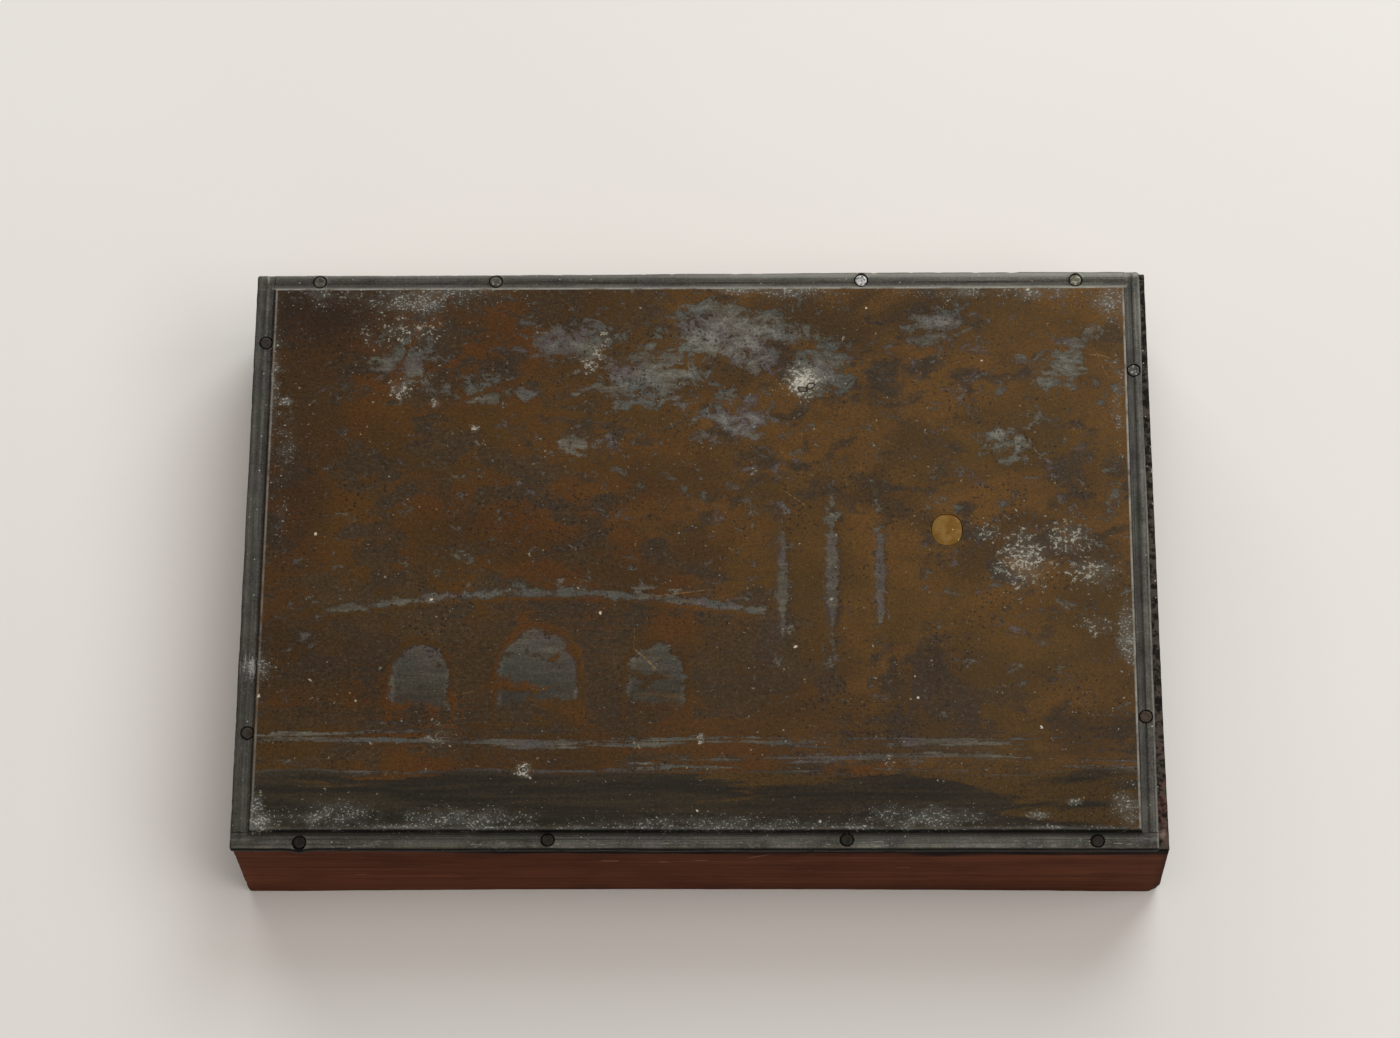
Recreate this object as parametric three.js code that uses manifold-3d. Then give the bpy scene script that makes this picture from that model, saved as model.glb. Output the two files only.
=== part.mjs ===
// Letterpress picture block: an etched metal plate with a bevelled flange, nailed to a wood block
// that brings its printing face to type height. Millimetres, +Z up. The origin lies on the press
// bed, under the middle of the block.
import * as THREE from 'three';
import { mergeVertices } from 'three/addons/utils/BufferGeometryUtils.js';
import Module from 'manifold-3d';

const wasm = await Module();
wasm.setup();

// Heights: the press bed is at zero and the printing face is at type height.
const typeHeight = 23.32;
const plateThickness = 1.65;
const blockHeight = typeHeight - plateThickness;

// Plate and block in plan. The block stands back a little under the plate's left and front edges,
// ends flush with its back edge, and runs on past its right edge to an end sawn out of square.
const plateWidth = 139.7;
const plateDepth = 95.25;
const plateCornerRadius = 0.6;
const plateOverhang = 0.3;
const blockMarginFront = 1.5;
const blockMarginBack = 0.78;
const blockCornerRadius = 0.5;
const blockArris = 0.25;

// Splinter lost from the block's lower front right corner.
const chipWidth = 1.5;
const chipDepth = 1.1;
const chipHeight = 3.7;

// Bevelled flange. Each side is one pass of the bevelling cutter, set by hand, so widths and
// depths differ and the passes show as small steps where they cross at the corners.
const flangeWidthLeft = 3.03;
const flangeWidthRight = 2.66;
const flangeWidthFront = 2.95;
const flangeWidthBack = 2.72;
const flangeDropLeft = 0.8;
const flangeDropRight = 0.84;
const flangeDropFront = 0.92;
const flangeDropBack = 0.76;
const wallRun = 0.14;
const rootRadius = 0.16;
const channelWidth = 1.1;
const channelDrop = 0.1;
const stepRun = 0.08;
const landFall = 0.05;

// Etched picture: the light tones are bitten down below the printing face.
const pictureMargin = 0.35;
const etchDepth = 0.15;

// Flat-headed wire nails, punched down into dimples in the flange.
const nailLength = 12.7;
const nailShankRadius = 0.53;
const nailPointLength = 1.6;
const nailHeadRadius = 0.9;
const nailHeadHeight = 0.3;
const nailHeadEase = 0.09;
const nailHeadDome = 0.03;
const nailClearance = 0.1;
const punchClearance = 0.12;
const punchDepth = 0.34;

// Anchor rivet through the middle of the plate, dressed off just under the printing face.
const rivetFaceRadius = 2.42;
const rivetNeckRadius = 1.6;
const rivetShankRadius = 1.1;
const rivetShankLength = 8.5;
const rivetTipEase = 0.4;
const rivetSink = 0.03;
const rivetClearance = 0.1;

// Every cut starts this far outside the material that it leaves.
const overrun = 1;
const roundSides = 16;
const rivetSides = 28;
const cornerSteps = 4;

// Plate and picture edges in plan.
const overallWidth = plateWidth + blockMarginFront;
const plateLeft = -overallWidth / 2;
const plateRight = plateLeft + plateWidth;
const plateFront = -plateDepth / 2;
const plateBack = plateDepth / 2;
const faceLeft = plateLeft + flangeWidthLeft;
const faceRight = plateRight - flangeWidthRight;
const faceFront = plateFront + flangeWidthFront;
const faceBack = plateBack - flangeWidthBack;
const pictureLeft = faceLeft + pictureMargin;
const pictureFront = faceFront + pictureMargin;
const pictureWidth = faceRight - faceLeft - 2 * pictureMargin;
const pictureDepth = faceBack - faceFront - 2 * pictureMargin;

// A closed geometry as a solid for cutting: shared corners are merged and slivers at poles dropped.
function solid(geometry) {
  const bare = geometry.clone();
  bare.deleteAttribute('normal');
  bare.deleteAttribute('uv');
  const merged = mergeVertices(bare);
  const index = merged.getIndex().array;
  const triangles = [];
  for (let i = 0; i < index.length; i += 3) {
    const [a, b, c] = index.slice(i, i + 3);
    if (a !== b && b !== c && c !== a) triangles.push(a, b, c);
  }
  return new wasm.Manifold(new wasm.Mesh({
    numProp: 3,
    vertProperties: new Float32Array(merged.getAttribute('position').array),
    triVerts: new Uint32Array(triangles),
  }));
}

// The geometry of a cut solid, with a flat normal on each facet.
function facets(cutSolid) {
  const { vertProperties, triVerts } = cutSolid.getMesh();
  const geometry = new THREE.BufferGeometry();
  geometry.setAttribute('position', new THREE.BufferAttribute(vertProperties, 3));
  geometry.setIndex(new THREE.BufferAttribute(triVerts, 1));
  const flat = geometry.toNonIndexed();
  flat.computeVertexNormals();
  return flat;
}

const cutAway = (body, cuts) => cuts.reduce((rest, cut) => rest.subtract(cut), body);

// Closed outline through the given corners, each rounded to the radius.
function roundedOutline(corners, radius) {
  const outline = new THREE.Shape();
  corners.forEach((corner, i) => {
    const before = corners[(i + corners.length - 1) % corners.length];
    const after = corners[(i + 1) % corners.length];
    const start = before.clone().sub(corner).setLength(radius).add(corner);
    const end = after.clone().sub(corner).setLength(radius).add(corner);
    if (i === 0) outline.moveTo(start.x, start.y);
    else outline.lineTo(start.x, start.y);
    outline.quadraticCurveTo(corner.x, corner.y, end.x, end.y);
  });
  outline.closePath();
  return outline;
}

const point = (x, y) => new THREE.Vector2(x, y);

// Revolved piece about the vertical axis at a place in plan; the profile runs from its foot up.
function turned(profile, sides, x, y) {
  const geometry = new THREE.LatheGeometry(profile, sides);
  geometry.rotateX(Math.PI / 2);
  geometry.translate(x, y, 0);
  return geometry;
}

// Nails. A place is a share of the side's length and of its flange's width, from the plate's edge.
const nailShares = {
  back: [[0.071, 0.44], [0.271, 0.43], [0.685, 0.43], [0.927, 0.45]],
  front: [[0.075, 0.42], [0.343, 0.55], [0.665, 0.56], [0.934, 0.5]],
  left: [[0.195, 0.62], [0.877, 0.6]],
  right: [[0.222, 0.52], [0.824, 0.55]],
};

function nailSeats(side) {
  const alongX = share => plateLeft + plateWidth * share;
  const alongY = share => plateFront + plateDepth * share;
  const places = {
    back: (along, across) => [alongX(along), plateBack - flangeWidthBack * across],
    front: (along, across) => [alongX(along), plateFront + flangeWidthFront * across],
    left: (along, across) => [plateLeft + flangeWidthLeft * across, alongY(along)],
    right: (along, across) => [plateRight - flangeWidthRight * across, alongY(along)],
  };
  const drops = {
    back: flangeDropBack,
    front: flangeDropFront,
    left: flangeDropLeft,
    right: flangeDropRight,
  };
  const seatHeight = typeHeight - drops[side] - punchDepth;
  return nailShares[side].map(([along, across], i) => {
    const [x, y] = places[side](along, across);
    return { name: `nail_${side}_${i + 1}`, x, y, seatHeight };
  });
}

const seats = Object.keys(nailShares).flatMap(nailSeats);

function nailGeometry({ x, y, seatHeight }) {
  const tip = seatHeight - nailLength;
  const headTop = seatHeight + nailHeadHeight;
  const profile = [
    point(0, tip),
    point(nailShankRadius, tip + nailPointLength),
    point(nailShankRadius, seatHeight),
    point(nailHeadRadius, seatHeight),
    point(nailHeadRadius, headTop - nailHeadEase),
    point(nailHeadRadius - nailHeadEase, headTop),
    point(0, headTop + nailHeadDome),
  ];
  return turned(profile, roundSides, x, y);
}

// The punched dimple and the shank's hole, as one cut through plate and block.
function nailCut({ x, y, seatHeight }) {
  const tip = seatHeight - nailLength - nailClearance;
  const boreRadius = nailShankRadius + nailClearance;
  const dimpleRadius = nailHeadRadius + punchClearance;
  const profile = [
    point(0, tip),
    point(boreRadius, tip + nailPointLength),
    point(boreRadius, seatHeight),
    point(dimpleRadius, seatHeight),
    point(dimpleRadius, typeHeight + overrun),
    point(0, typeHeight + overrun),
  ];
  return solid(turned(profile, roundSides, x, y));
}

// Anchor rivet: a countersunk head filled flush in the plate and a shank down into the wood.
const rivetLeftShare = 0.788;
const rivetFrontShare = 0.54;
const rivetX = faceLeft + (faceRight - faceLeft) * rivetLeftShare;
const rivetY = faceFront + (faceBack - faceFront) * rivetFrontShare;

function rivetProfile(gap, top) {
  const tip = blockHeight - rivetShankLength - gap;
  return [
    point(0, tip),
    point(rivetShankRadius - rivetTipEase + gap, tip),
    point(rivetShankRadius + gap, tip + rivetTipEase),
    point(rivetShankRadius + gap, blockHeight),
    point(rivetNeckRadius + gap, blockHeight),
    point(rivetFaceRadius + gap, typeHeight - rivetSink),
    point(rivetFaceRadius + gap, top),
    point(0, top),
  ];
}

const rivetTop = typeHeight - rivetSink / 2;
const rivetGeometry = turned(rivetProfile(0, rivetTop), rivetSides, rivetX, rivetY);
const rivetCut = solid(turned(rivetProfile(rivetClearance, typeHeight + overrun), rivetSides, rivetX, rivetY));

// Wood block: sawn outline with worn corners and arrises, bored for the nails and the rivet.
function blockGeometry() {
  const left = plateLeft + plateOverhang;
  const front = plateFront + plateOverhang;
  const outline = roundedOutline([
    point(left, front),
    point(plateRight + blockMarginFront, front),
    point(plateRight + blockMarginBack, plateBack),
    point(left, plateBack),
  ], blockCornerRadius);
  const sawn = new THREE.ExtrudeGeometry(outline, {
    depth: blockHeight - 2 * blockArris,
    bevelEnabled: true,
    bevelThickness: blockArris,
    bevelSize: blockArris,
    bevelOffset: -blockArris,
    bevelSegments: 2,
    curveSegments: cornerSteps,
  });
  sawn.translate(0, 0, blockArris);
  return facets(cutAway(solid(sawn), [chipCut(front), rivetCut, ...seats.map(nailCut)]));
}

// A three-cornered sliver, widest at the foot of the block.
function chipCut(front) {
  const right = plateRight + blockMarginFront;
  const sliver = new THREE.Shape();
  sliver.moveTo(right - chipWidth, -overrun);
  sliver.lineTo(right + overrun, -overrun);
  sliver.lineTo(right + overrun, chipHeight);
  sliver.lineTo(right, chipHeight);
  sliver.lineTo(right - chipWidth, 0);
  const cut = new THREE.ExtrudeGeometry(sliver, { depth: chipDepth + overrun, bevelEnabled: false });
  cut.rotateX(Math.PI / 2);
  cut.translate(0, front + chipDepth, 0);
  return solid(cut);
}

// Section of one bevelling pass. Zero is the face's edge; it runs out across the flange and down.
function bevelSection(width, drop) {
  const floor = -drop - channelDrop;
  const section = new THREE.Shape();
  section.moveTo(0, overrun);
  section.lineTo(0, 0);
  section.lineTo(wallRun, floor + rootRadius);
  section.quadraticCurveTo(wallRun, floor, wallRun + rootRadius, floor);
  section.lineTo(wallRun + channelWidth, floor);
  section.lineTo(wallRun + channelWidth + stepRun, -drop);
  section.lineTo(width, -drop - landFall);
  section.lineTo(width + overrun, -drop - landFall);
  section.lineTo(width + overrun, overrun);
  section.closePath();
  return section;
}

// One pass, run right along its side of the plate and out past both ends.
function bevelPass({ edge, outward, width, drop, length }) {
  const cut = new THREE.ExtrudeGeometry(bevelSection(width, drop), {
    depth: length + 2 * overrun,
    bevelEnabled: false,
    curveSegments: cornerSteps,
  });
  cut.translate(0, 0, -length / 2 - overrun);
  const up = new THREE.Vector3(0, 0, 1);
  const along = outward.clone().cross(up);
  cut.applyMatrix4(new THREE.Matrix4().makeBasis(outward, up, along));
  cut.translate(edge.x, edge.y, typeHeight);
  return solid(cut);
}

const plateMiddle = (plateLeft + plateRight) / 2;
const bevelPasses = [
  {
    edge: point(faceLeft, 0),
    outward: new THREE.Vector3(-1, 0, 0),
    width: flangeWidthLeft,
    drop: flangeDropLeft,
    length: plateDepth,
  },
  {
    edge: point(faceRight, 0),
    outward: new THREE.Vector3(1, 0, 0),
    width: flangeWidthRight,
    drop: flangeDropRight,
    length: plateDepth,
  },
  {
    edge: point(plateMiddle, faceFront),
    outward: new THREE.Vector3(0, -1, 0),
    width: flangeWidthFront,
    drop: flangeDropFront,
    length: plateWidth,
  },
  {
    edge: point(plateMiddle, faceBack),
    outward: new THREE.Vector3(0, 1, 0),
    width: flangeWidthBack,
    drop: flangeDropBack,
    length: plateWidth,
  },
];

// Etched picture of an arched stone bridge over a river, under trees. Places and sizes are shares
// of the picture's width and depth, from its left front corner.
const inPicture = (u, v) => point(pictureLeft + pictureWidth * u, pictureFront + pictureDepth * v);

function closedOutline(points) {
  const outline = new THREE.Shape(points);
  outline.closePath();
  return outline;
}

// Sky seen through leaves: an oval with a lobed rim.
const lobeShare = 0.16;
const lobeSteps = 30;
function skyGap([u, v, halfWidthShare, halfDepthShare, lobes]) {
  const points = [];
  for (let i = 0; i < lobeSteps; i += 1) {
    const turn = (2 * Math.PI * i) / lobeSteps;
    const reach = 1 + lobeShare * Math.cos(lobes * turn + lobes);
    points.push(inPicture(
      u + halfWidthShare * reach * Math.cos(turn),
      v + halfDepthShare * reach * Math.sin(turn),
    ));
  }
  return closedOutline(points);
}
const skyGapShares = [
  [0.16, 0.86, 0.035, 0.04, 4],
  [0.25, 0.8, 0.045, 0.035, 5],
  [0.345, 0.9, 0.05, 0.04, 4],
  [0.43, 0.82, 0.06, 0.05, 5],
  [0.53, 0.9, 0.055, 0.055, 4],
  [0.53, 0.74, 0.035, 0.035, 5],
  [0.36, 0.71, 0.03, 0.03, 4],
  [0.17, 0.66, 0.03, 0.025, 3],
  [0.64, 0.86, 0.03, 0.035, 3],
  [0.93, 0.86, 0.022, 0.04, 4],
  [0.87, 0.7, 0.02, 0.022, 3],
];

// Arches of the bridge: straight jambs under a round head.
const archSpringShare = 0.27;
const archFootShare = 0.19;
function archOpening([middleShare, halfWidthShare, riseShare]) {
  const foot = inPicture(middleShare - halfWidthShare, archFootShare);
  const spring = inPicture(middleShare + halfWidthShare, archSpringShare);
  const middle = inPicture(middleShare, archSpringShare);
  const outline = new THREE.Shape();
  outline.moveTo(foot.x, foot.y);
  outline.lineTo(spring.x, foot.y);
  outline.lineTo(spring.x, spring.y);
  outline.absellipse(middle.x, middle.y, spring.x - middle.x, pictureDepth * riseShare, 0, Math.PI, false, 0);
  outline.closePath();
  return outline;
}
const archShares = [
  [0.185, 0.032, 0.06],
  [0.32, 0.045, 0.085],
  [0.455, 0.032, 0.06],
];

// Coping of the bridge: a light course that rises gently to the middle of the span.
const copingLeftShare = 0.07;
const copingRightShare = 0.58;
const copingEndShare = 0.385;
const copingRiseShare = 0.035;
const copingDepthShare = 0.012;
const copingSteps = 16;
function copingOutline() {
  const lower = [];
  const upper = [];
  for (let i = 0; i <= copingSteps; i += 1) {
    const along = i / copingSteps;
    const u = copingLeftShare + (copingRightShare - copingLeftShare) * along;
    const v = copingEndShare + copingRiseShare * Math.sin(Math.PI * along);
    lower.push(inPicture(u, v));
    upper.unshift(inPicture(u, v + copingDepthShare));
  }
  return closedOutline([...lower, ...upper]);
}

// Long lens between two tips, with a point on either side that its edges are pulled towards.
function lens(tip, otherTip, pull, otherPull) {
  const outline = new THREE.Shape();
  outline.moveTo(tip.x, tip.y);
  outline.quadraticCurveTo(pull.x, pull.y, otherTip.x, otherTip.y);
  outline.quadraticCurveTo(otherPull.x, otherPull.y, tip.x, tip.y);
  return outline;
}

// Lying, it is a glint on the river.
function glint([u, v, halfWidthShare, halfDepthShare]) {
  return lens(
    inPicture(u - halfWidthShare, v),
    inPicture(u + halfWidthShare, v),
    inPicture(u, v - 2 * halfDepthShare),
    inPicture(u, v + 2 * halfDepthShare),
  );
}
const glintShares = [
  [0.12, 0.16, 0.08, 0.006],
  [0.36, 0.15, 0.11, 0.007],
  [0.62, 0.16, 0.09, 0.006],
  [0.84, 0.15, 0.1, 0.008],
  [0.7, 0.125, 0.13, 0.006],
];

// Standing, it is light between two poplars.
function poplarLight([u, v, halfWidthShare, halfDepthShare]) {
  return lens(
    inPicture(u, v - halfDepthShare),
    inPicture(u, v + halfDepthShare),
    inPicture(u + 2 * halfWidthShare, v),
    inPicture(u - 2 * halfWidthShare, v),
  );
}
const poplarLightShares = [
  [0.6, 0.45, 0.008, 0.13],
  [0.657, 0.46, 0.009, 0.15],
  [0.712, 0.46, 0.008, 0.13],
];

// Calm water along the foot of the picture, with a wavering upper edge.
const waterDepthShare = 0.1;
const waterWaveShare = 0.006;
const waterWaveCount = 5;
const waterSteps = 40;
function waterOutline() {
  const points = [inPicture(1, 0), inPicture(0, 0)];
  for (let i = 0; i <= waterSteps; i += 1) {
    const u = i / waterSteps;
    const wave = Math.sin(2 * Math.PI * waterWaveCount * u) * Math.cos(Math.PI * u);
    points.splice(2 + i, 0, inPicture(u, waterDepthShare + waterWaveShare * wave));
  }
  return closedOutline(points);
}

function etchedCut(outline) {
  const cut = new THREE.ExtrudeGeometry(outline, {
    depth: etchDepth + overrun,
    bevelEnabled: false,
    curveSegments: 2 * cornerSteps,
  });
  cut.translate(0, 0, typeHeight - etchDepth);
  return solid(cut);
}

const etchedOutlines = [
  ...skyGapShares.map(skyGap),
  ...archShares.map(archOpening),
  copingOutline(),
  ...glintShares.map(glint),
  ...poplarLightShares.map(poplarLight),
  waterOutline(),
];

// Plate: sheet with its flange bevelled off, its picture etched, and its nail and rivet holes.
function plateGeometry() {
  const outline = roundedOutline([
    point(plateLeft, plateFront),
    point(plateRight, plateFront),
    point(plateRight, plateBack),
    point(plateLeft, plateBack),
  ], plateCornerRadius);
  const sheet = new THREE.ExtrudeGeometry(outline, {
    depth: plateThickness,
    bevelEnabled: false,
    curveSegments: cornerSteps,
  });
  sheet.translate(0, 0, blockHeight);
  return facets(cutAway(solid(sheet), [
    ...bevelPasses.map(bevelPass),
    ...etchedOutlines.map(etchedCut),
    rivetCut,
    ...seats.map(nailCut),
  ]));
}

// Finishes.
const stainedWood = new THREE.MeshStandardMaterial({ color: 0x4a2c1e, roughness: 0.7, metalness: 0 });
const tarnishedPlate = new THREE.MeshStandardMaterial({ color: 0x5f4a33, roughness: 0.6, metalness: 0.7 });
const nailSteel = new THREE.MeshStandardMaterial({ color: 0x4a4a48, roughness: 0.45, metalness: 0.9 });
const oldBrass = new THREE.MeshStandardMaterial({ color: 0x8a6a36, roughness: 0.4, metalness: 0.9 });

function piece(name, geometry, material) {
  const mesh = new THREE.Mesh(geometry, material);
  mesh.name = name;
  return mesh;
}

const pictureBlock = new THREE.Group();
pictureBlock.add(
  piece('wood_block', blockGeometry(), stainedWood),
  piece('etched_plate', plateGeometry(), tarnishedPlate),
  piece('anchor_rivet', rivetGeometry, oldBrass),
  ...seats.map(seat => piece(seat.name, nailGeometry(seat), nailSteel)),
);

export default pictureBlock;
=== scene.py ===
import math

import bmesh
import bpy
import numpy as np
from mathutils import Matrix, Vector, noise


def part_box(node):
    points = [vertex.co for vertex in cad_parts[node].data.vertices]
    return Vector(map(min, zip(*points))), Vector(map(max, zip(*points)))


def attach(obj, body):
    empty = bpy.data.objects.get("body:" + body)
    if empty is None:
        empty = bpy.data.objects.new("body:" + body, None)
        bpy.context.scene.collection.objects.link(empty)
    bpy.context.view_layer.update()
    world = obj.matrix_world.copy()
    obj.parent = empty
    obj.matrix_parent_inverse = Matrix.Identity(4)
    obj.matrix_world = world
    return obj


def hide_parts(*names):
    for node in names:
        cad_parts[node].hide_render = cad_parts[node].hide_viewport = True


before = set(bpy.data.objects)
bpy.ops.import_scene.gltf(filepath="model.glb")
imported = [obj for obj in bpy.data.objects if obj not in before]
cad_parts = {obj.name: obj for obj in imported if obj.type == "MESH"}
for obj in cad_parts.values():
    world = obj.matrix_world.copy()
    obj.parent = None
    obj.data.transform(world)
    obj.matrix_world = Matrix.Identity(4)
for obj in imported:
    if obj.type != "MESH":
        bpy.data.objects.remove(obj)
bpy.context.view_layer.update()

# The camera. A long lens looks steeply down on the block from in front of it, a little from the
# right, and is rolled a few degrees, so that the block's long edges run level in the picture.
photo_width_px = 1400
focal_length_px = 4280.6
camera_azimuth = math.radians(3.605)
camera_elevation = math.radians(68.105)
camera_roll = math.radians(-3.444)
camera_distance = 0.68657
aim = Vector((-0.00066, 0.01491, 0.0))

camera_data = bpy.data.cameras.new("camera")
camera_data.sensor_width = 36.0
camera_data.lens = camera_data.sensor_width * focal_length_px / photo_width_px
camera_data.clip_start = 0.01
camera = bpy.data.objects.new("camera", camera_data)
bpy.context.scene.collection.objects.link(camera)
level = math.cos(camera_elevation)
away = Vector((
    math.sin(camera_azimuth) * level,
    -math.cos(camera_azimuth) * level,
    math.sin(camera_elevation),
))
across = Vector((math.cos(camera_azimuth), math.sin(camera_azimuth), 0.0))
upward = away.cross(across)
rolled_across = across * math.cos(camera_roll) + upward * math.sin(camera_roll)
rolled_upward = upward * math.cos(camera_roll) - across * math.sin(camera_roll)
camera.matrix_world = Matrix.Translation(aim + away * camera_distance) @ Matrix((
    rolled_across, rolled_upward, away,
)).transposed().to_4x4()
bpy.context.scene.camera = camera
bpy.context.scene.view_settings.view_transform = "Standard"


# The wood block. One piece of close-grained red-brown wood, planed on its faces and sawn at its
# ends, the right end a little out of square. Old ink has blackened its bare top strip and edges.
mm = 0.001
plate_low, plate_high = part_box("etched_plate")
block_low, block_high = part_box("wood_block")
block_edge_stops = [0.12 * mm, 0.3 * mm, 0.6 * mm]
block_cuts = [90, 200, 40]
shortest_long_edge = 4 * mm
end_out_of_square = 0.72 * mm
mean_wear, least_wear, most_wear = 0.26, 0.08, 0.9
hollow_deep, hollow_high, hollow_half_long = 0.32, 7 * mm, 64 * mm
chip_wide, chip_high, chip_deep = 1.6 * mm, 3.5 * mm, 1.3 * mm
end_stands_out, back_stands_out = 0.12 * mm, 0.24 * mm


def start_edit(name):
    """Names the piece that was just added, puts its place in its mesh and opens it for editing."""
    piece = bpy.context.active_object
    piece.name = name
    piece.data.name = name
    bpy.ops.object.transform_apply(location=True, rotation=True, scale=True)
    bpy.ops.object.mode_set(mode="EDIT")
    return piece


def pick(kind, test):
    """Selects the vertices, edges or faces of the piece being edited that pass the test."""
    bpy.ops.mesh.select_mode(type=kind)
    bpy.ops.mesh.select_all(action="DESELECT")
    mesh = bpy.context.edit_object.data
    shape = bmesh.from_edit_mesh(mesh)
    members = {"VERT": shape.verts, "EDGE": shape.edges, "FACE": shape.faces}[kind]
    for member in members:
        if test(member):
            member.select_set(True)
    shape.select_flush_mode()
    bmesh.update_edit_mesh(mesh)


def cut_all(place, normal):
    """Cuts an edge loop right round the piece being edited, where the plane meets it."""
    bpy.ops.mesh.select_mode(type="FACE")
    bpy.ops.mesh.select_all(action="SELECT")
    bpy.ops.mesh.bisect(plane_co=place, plane_no=normal)


def runs_along(edge, axis, shortest):
    """True for an edge along the axis (0, 1 or 2) that is longer than the shortest."""
    run = edge.verts[1].co - edge.verts[0].co
    return abs(run[axis]) > shortest and abs(run[axis]) > 0.99 * run.length


def places(piece):
    """The piece's vertex places as an array of rows, in metres."""
    flat = np.empty(len(piece.data.vertices) * 3, dtype=np.float32)
    piece.data.vertices.foreach_get("co", flat)
    return flat.reshape(-1, 3).astype(float)


def set_places(piece, rows):
    piece.data.vertices.foreach_set("co", rows.astype(np.float32).ravel())
    piece.data.update()


def set_values(piece, name, values):
    """Stores one number per vertex under a name that the piece's material reads."""
    attribute = piece.data.attributes.new(name, "FLOAT", "POINT")
    attribute.data.foreach_set("value", np.asarray(values, dtype=np.float32))


def rough(rows, scale, offset=0.0, octaves=3):
    """Fractal noise at each place, with the scale in cycles per millimetre along X, Y and Z."""
    across_mm = rows / mm * np.array(scale) + offset
    return np.array([noise.fractal(Vector(row), 0.8, 2.1, octaves) for row in across_mm])


def smooth(low, high, values):
    """Smooth step from 0 at low to 1 at high."""
    share = np.clip((values - low) / (high - low), 0.0, 1.0)
    return share * share * (3.0 - 2.0 * share)


def mound(x, y, middle_x, middle_y, reach_x, reach_y):
    """A soft oval mound in plan, 1 at its middle."""
    return np.exp(-(((x - middle_x) / reach_x) ** 2 + ((y - middle_y) / reach_y) ** 2))


bpy.ops.object.select_all(action="DESELECT")
bpy.ops.mesh.primitive_cube_add(
    size=1.0, location=(block_low + block_high) / 2, scale=block_high - block_low,
)
block = start_edit("block")
for axis in range(3):
    normal = [0.0, 0.0, 0.0]
    normal[axis] = 1.0
    for stop in block_edge_stops:
        for side in (block_low[axis] + stop, block_high[axis] - stop):
            place = [0.0, 0.0, 0.0]
            place[axis] = side
            cut_all(place, normal)
for strip_edge in (plate_high.x - 1.2 * mm, plate_high.x):
    cut_all((strip_edge, 0.0, 0.0), (1.0, 0.0, 0.0))
for axis, cuts in enumerate(block_cuts):
    pick("EDGE", lambda edge: runs_along(edge, axis, shortest_long_edge))
    bpy.ops.mesh.subdivide(number_cuts=cuts)
bpy.ops.object.mode_set(mode="OBJECT")

# The right end leans in towards the back; corners and arrises are rounded by wear.
rows = places(block)
at_x, at_y, at_z = rows.T
low, high = np.array(block_low), np.array(block_high)
from_front, from_right, from_foot = at_y - low[1], high[0] - at_x, at_z - low[2]
back_share = from_front / (high[1] - low[1])
skew = end_out_of_square * back_share * smooth(plate_high.x - 2 * mm, high[0], at_x)
wear = mean_wear + 0.16 * rough(rows, (0.22, 0.25, 0.3), 3.0)
front_left = smooth(4 * mm, 0.0, (at_x - low[0]) + from_front)
front_right = smooth(4 * mm, 0.0, from_right + from_front)
back_right = smooth(6 * mm, 0.0, from_right + (high[1] - at_y))
knocks = 0.05 + 0.4 * np.abs(rough(rows, (0.9, 0.9, 0.9), 11.0))
wear = wear + (front_left + 0.15 * front_right) * knocks
wear = np.clip(wear * (1.0 - 0.6 * back_right), least_wear, most_wear)[:, None] * mm
core = np.clip(rows, low + wear, high - wear)
reach = rows - core
length = np.linalg.norm(reach, axis=1, keepdims=True)
outward = np.divide(reach, length, out=np.zeros_like(reach), where=length > 0)
rounded = core + outward * np.minimum(length, wear)

# Planing leaves faint ridges along the grain, the saw leaves marks across the ends, and the bare
# top strip is coarse, with the grain standing up in black ridges. The front's foot is worn hollow.
along_grain = rough(rows, (0.05, 0.9, 0.9), 21.0)
saw = rough(rows, (0.4, 1.6, 0.25), 33.0)
ridges = rough(rows, (0.1, 1.5, 0.4), 45.0, 4)
strip = smooth(plate_high.x - 0.8 * mm, plate_high.x + 0.1 * mm, at_x) * (outward[:, 2] > 0.2)
inward = 0.03 * (1.0 + along_grain) * np.abs(outward[:, 1])
inward += 0.03 * (1.0 + saw) * np.abs(outward[:, 0])
inward = np.clip(inward, 0.0, 0.5)
sunk_grain = 0.18 * np.clip(0.6 + ridges, 0.0, 2.0) * strip
hollow = hollow_deep * np.clip(1.0 - (at_x / hollow_half_long) ** 2, 0.0, 1.0)
hollow *= smooth(hollow_high, 0.0, from_foot) * smooth(1.5 * mm, 0.1 * mm, from_front)

# A splinter is gone from the lower front right corner, and its bed is torn along the grain.
off_corner = np.abs(from_right / chip_wide) + np.abs(from_foot / chip_high)
chip = np.clip(1.0 - (off_corner + 0.6 * np.abs(from_front / chip_deep)), 0.0, 1.0)
chip *= 1.0 + 0.5 * rough(rows, (0.4, 1.4, 2.2), 57.0)
rounded -= outward * inward[:, None] * mm
rounded[:, 0] -= chip * 0.42 * mm + skew
rounded[:, 0] += end_stands_out * smooth(-25 * mm, -47 * mm, at_y) * (outward[:, 0] > 0.3)
rounded[:, 1] += (chip * 0.7 + hollow) * mm
rounded[:, 1] += back_stands_out * smooth(-40 * mm, 40 * mm, at_x) * (outward[:, 1] > 0.3)
rounded[:, 2] -= sunk_grain * mm
set_places(block, rounded)

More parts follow.
